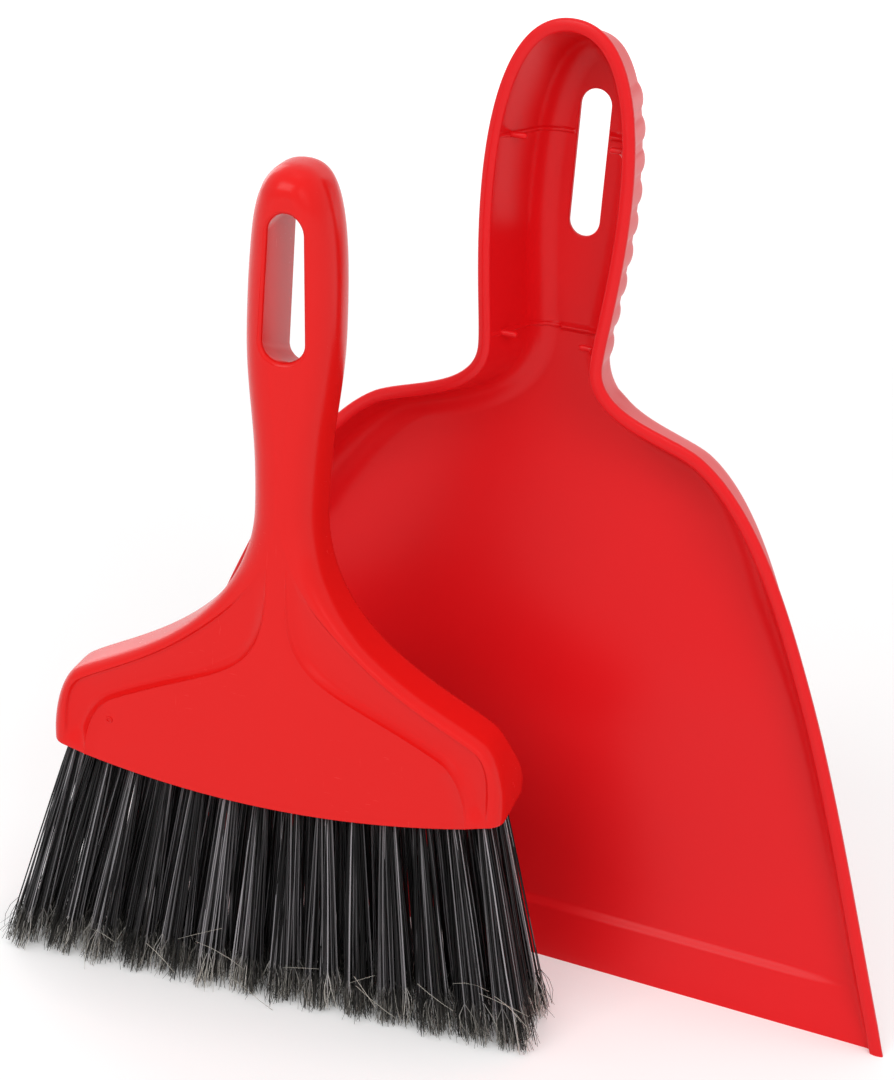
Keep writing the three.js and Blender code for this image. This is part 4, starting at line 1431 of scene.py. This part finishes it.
def wire_material(finish):
    """Drawn steel wire, with faint lines along it."""
    tree, shader = new_material("drawn_wire", {"Metallic": 1})
    drawn = noise(tree, own_place(tree), scale=900, detail=3, stretch=WIRE_LINES)
    base = flat_colour(tree, finish.steel)
    link(
        tree,
        (tinted(tree, base, scaled(tree, drawn, 0.25, 0.85)), shader.inputs["Base Color"]),
        (scaled(tree, drawn, 0.2, 0.22), shader.inputs["Roughness"]),
    )


def paint(piece, material):
    piece.data.materials.clear()
    piece.data.materials.append(bpy.data.materials[material])


def dress(piece, material, body, slot, *nodes):
    paint(piece, material)
    if nodes:
        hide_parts(*nodes)
    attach(piece, body)


# ---- Stage -----------------------------------------------------------------------------------
FLOOR_HALF = 6.0
FLOOR_WHITE = 0.9
FLOOR_GLOW = 0.13              # added for the camera near the set, and far from it
FLOOR_GLOW_FAR = 0.8
GLOW_STARTS = 0.5
GLOW_FULL = 2.2
DOME_LIGHT = 0.5
WHITE = (1, 1, 1, 1)
NEAREST_SEEN = 0.01
# Softboxes: name, place, target, size, watts, and whether glossy surfaces mirror them
LAMPS = (
    ("key_light", (-0.75, -1.9, 1.9), (0, 0, 0.15), (1.5, 1.3), 20.5, True),
    ("fill_light", (1.6, -1.6, 1.3), (0, 0, 0.15), (1.2, 1.2), 19, False),
    ("top_light", (0, 0.15, 2.4), (0, 0, 0), (1.4, 1.0), 14, False),
    ("edge_light", (-1.5, 1.15, 0.85), (-0.05, 0, 0.2), (0.7, 1.5), 6, True),
)


def camera_ray_share(tree):
    """1 for what the camera sees directly, in a reflection or through glass."""
    path = node(tree, "ShaderNodeLightPath")
    mirrored = maths(tree, "MAXIMUM", path.outputs["Is Camera Ray"], path.outputs["Is Glossy Ray"])
    return maths(tree, "MAXIMUM", mirrored, path.outputs["Is Transmission Ray"])


def build_floor():
    shape = bmesh.new()
    bmesh.ops.create_grid(shape, x_segments=4, y_segments=4, size=FLOOR_HALF)
    floor = new_piece("floor", [], [])
    shape.to_mesh(floor.data)
    shape.free()
    tree, shader = new_material("floor_white", {
        "Base Color": (FLOOR_WHITE, FLOOR_WHITE, FLOOR_WHITE, 1), "Roughness": 0.9,
        "Specular IOR Level": 0, "Emission Color": WHITE,
    })
    away = node(tree, "ShaderNodeVectorMath", operation="LENGTH")
    further = node(tree, "ShaderNodeMapRange", {
        "From Min": GLOW_STARTS, "From Max": GLOW_FULL, "To Min": FLOOR_GLOW, "To Max": FLOOR_GLOW_FAR,
    }, interpolation_type="SMOOTHSTEP")
    glow = maths(tree, "MULTIPLY", camera_ray_share(tree), further.outputs["Result"])
    link(
        tree,
        (own_place(tree), away.inputs[0]),
        (away.outputs["Value"], further.inputs["Value"]),
        (glow, shader.inputs["Emission Strength"]),
    )
    paint(floor, "floor_white")


def build_world():
    """A white background for the camera, and a dimmer white dome for light."""
    world = bpy.data.worlds.new("studio")
    bpy.context.scene.world = world
    world.use_nodes = True
    tree = world.node_tree
    tree.nodes.clear()
    dome = node(tree, "ShaderNodeBackground", {"Color": WHITE, "Strength": DOME_LIGHT})
    seen = node(tree, "ShaderNodeBackground", {"Color": WHITE, "Strength": 1.0})
    mix = node(tree, "ShaderNodeMixShader")
    end = node(tree, "ShaderNodeOutputWorld")
    link(
        tree,
        (camera_ray_share(tree), mix.inputs["Fac"]),
        (dome.outputs[0], mix.inputs[1]),
        (seen.outputs[0], mix.inputs[2]),
        (mix.outputs[0], end.inputs["Surface"]),
    )


def softbox(name, place, target, size, watts, mirrored):
    light = bpy.data.lights.new(name, "AREA")
    light.shape = "RECTANGLE"
    light.size, light.size_y = size
    light.energy = watts
    lamp = bpy.data.objects.new(name, light)
    lamp.location = place
    lamp.rotation_euler = (Vector(target) - Vector(place)).to_track_quat("-Z", "Y").to_euler()
    lamp.visible_glossy = mirrored
    bpy.context.scene.collection.objects.link(lamp)


def build_camera():
    camera = bpy.data.cameras.new("camera")
    camera.sensor_width = SENSOR
    camera.lens = FOCAL_PIXELS * SENSOR / max(PHOTO_SIZE)
    camera.clip_start = NEAREST_SEEN
    holder = bpy.data.objects.new("camera", camera)
    turn = Matrix.Rotation(math.radians(-CAMERA_TURN), 4, "Z")
    tilt = Matrix.Rotation(math.radians(90 + CAMERA_TILT), 4, "X")
    roll = Matrix.Rotation(math.radians(CAMERA_ROLL), 4, "Z")
    holder.matrix_world = Matrix.Translation(CAMERA_PLACE) @ turn @ tilt @ roll
    bpy.context.scene.collection.objects.link(holder)
    bpy.context.scene.camera = holder


# ---- Operators -------------------------------------------------------------------------------

class SCENE_OT_build_finishes(bpy.types.Operator):
    """Makes the shared node groups and the materials of the set"""
    bl_idname = "scene.build_finishes"
    bl_label = "Finishes"

    def execute(self, context):
        finish = context.scene.set_finish
        moulded_plastic_group()
        rubbed_group()
        plastic_material(
            "dustpan_red", finish.pan_red, roughness=0.33, specular=0.24, cloud=0.06, rubbed=0.12
        )
        plastic_material(
            "brush_red", finish.brush_red, roughness=0.24, specular=0.2, cloud=0.04, rubbed=0.08
        )
        bristle_material(finish)
        wire_material(finish)
        return {"FINISHED"}


class SCENE_OT_build_dustpan(bpy.types.Operator):
    """Models the dustpan's one moulding"""
    bl_idname = "scene.build_dustpan"
    bl_label = "Dustpan"

    def execute(self, context):
        shell = build_dustpan(context.scene.dustpan_sizes)
        dress(shell, "dustpan_red", "dustpan", "pan_plastic", "dustpan_shell")
        return {"FINISHED"}


class SCENE_OT_build_brush_body(bpy.types.Operator):
    """Models the brush's block and handle"""
    bl_idname = "scene.build_brush_body"
    bl_label = "Brush body"

    def execute(self, context):
        body, mark = build_brush_body(context.scene.brush_sizes, context.scene.bristle_sizes)
        dress(body, "brush_red", "brush", "brush_plastic", "brush_body")
        dress(mark, "brush_red", "brush", "brush_plastic")
        return {"FINISHED"}


class SCENE_OT_build_bristles(bpy.types.Operator):
    """Plants the three rows of tufts"""
    bl_idname = "scene.build_bristles"
    bl_label = "Bristles"

    def execute(self, context):
        brush, bristles = context.scene.brush_sizes, context.scene.bristle_sizes
        tufts = read_tufts(brush, place_brush(bristles))
        for row, name in enumerate(ROWS):
            piece = build_bristle_row(brush, bristles, tufts, row)
            dress(piece, "bristle_filament", "brush", "bristle", f"bristles_{name}")
        return {"FINISHED"}


class SCENE_OT_finish_anchors(bpy.types.Operator):
    """Gives the tufts' wire anchors their drawn steel"""
    bl_idname = "scene.finish_anchors"
    bl_label = "Wire anchors"

    def execute(self, context):
        for name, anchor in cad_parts.items():
            if name.startswith("tuft_anchor_"):
                paint(anchor, "drawn_wire")
        return {"FINISHED"}


class SCENE_OT_build_stage(bpy.types.Operator):
    """Sets the camera, the floor, the world and the lamps"""
    bl_idname = "scene.build_stage"
    bl_label = "Stage"

    def execute(self, context):
        context.scene.view_settings.view_transform = "Standard"
        build_camera()
        build_floor()
        build_world()
        for lamp in LAMPS:
            softbox(*lamp)
        return {"FINISHED"}


OPERATORS = (
    SCENE_OT_build_stage,
    SCENE_OT_build_finishes,
    SCENE_OT_build_dustpan,
    SCENE_OT_build_brush_body,
    SCENE_OT_build_bristles,
    SCENE_OT_finish_anchors,
)


class VIEW3D_PT_dustpan_set(bpy.types.Panel):
    """Lists the steps that build the set"""
    bl_idname = "VIEW3D_PT_dustpan_set"
    bl_label = "Dustpan and brush"
    bl_space_type = "VIEW_3D"
    bl_region_type = "UI"
    bl_category = "Dustpan"

    def draw(self, context):
        for operator in OPERATORS:
            self.layout.operator(operator.bl_idname)
        for label in ("dustpan_sizes", "brush_sizes", "bristle_sizes", "set_finish"):
            settings = getattr(context.scene, label)
            for entry in settings.bl_rna.properties:
                if entry.identifier not in {"rna_type", "name"}:
                    self.layout.prop(settings, entry.identifier)


GROUPS = {
    "dustpan_sizes": DustpanSizes,
    "brush_sizes": BrushSizes,
    "bristle_sizes": BristleSizes,
    "set_finish": FinishSettings,
}


def register():
    for label, group in GROUPS.items():
        bpy.utils.register_class(group)
        setattr(bpy.types.Scene, label, PointerProperty(type=group))
    for operator in OPERATORS:
        bpy.utils.register_class(operator)
    bpy.utils.register_class(VIEW3D_PT_dustpan_set)


def unregister():
    bpy.utils.unregister_class(VIEW3D_PT_dustpan_set)
    for operator in reversed(OPERATORS):
        bpy.utils.unregister_class(operator)
    for label, group in reversed(GROUPS.items()):
        delattr(bpy.types.Scene, label)
        bpy.utils.unregister_class(group)


def main():
    register()
    for operator in OPERATORS:
        family, name = operator.bl_idname.split(".")
        getattr(getattr(bpy.ops, family), name)()
    bpy.context.view_layer.update()


if __name__ == "__main__":
    main()
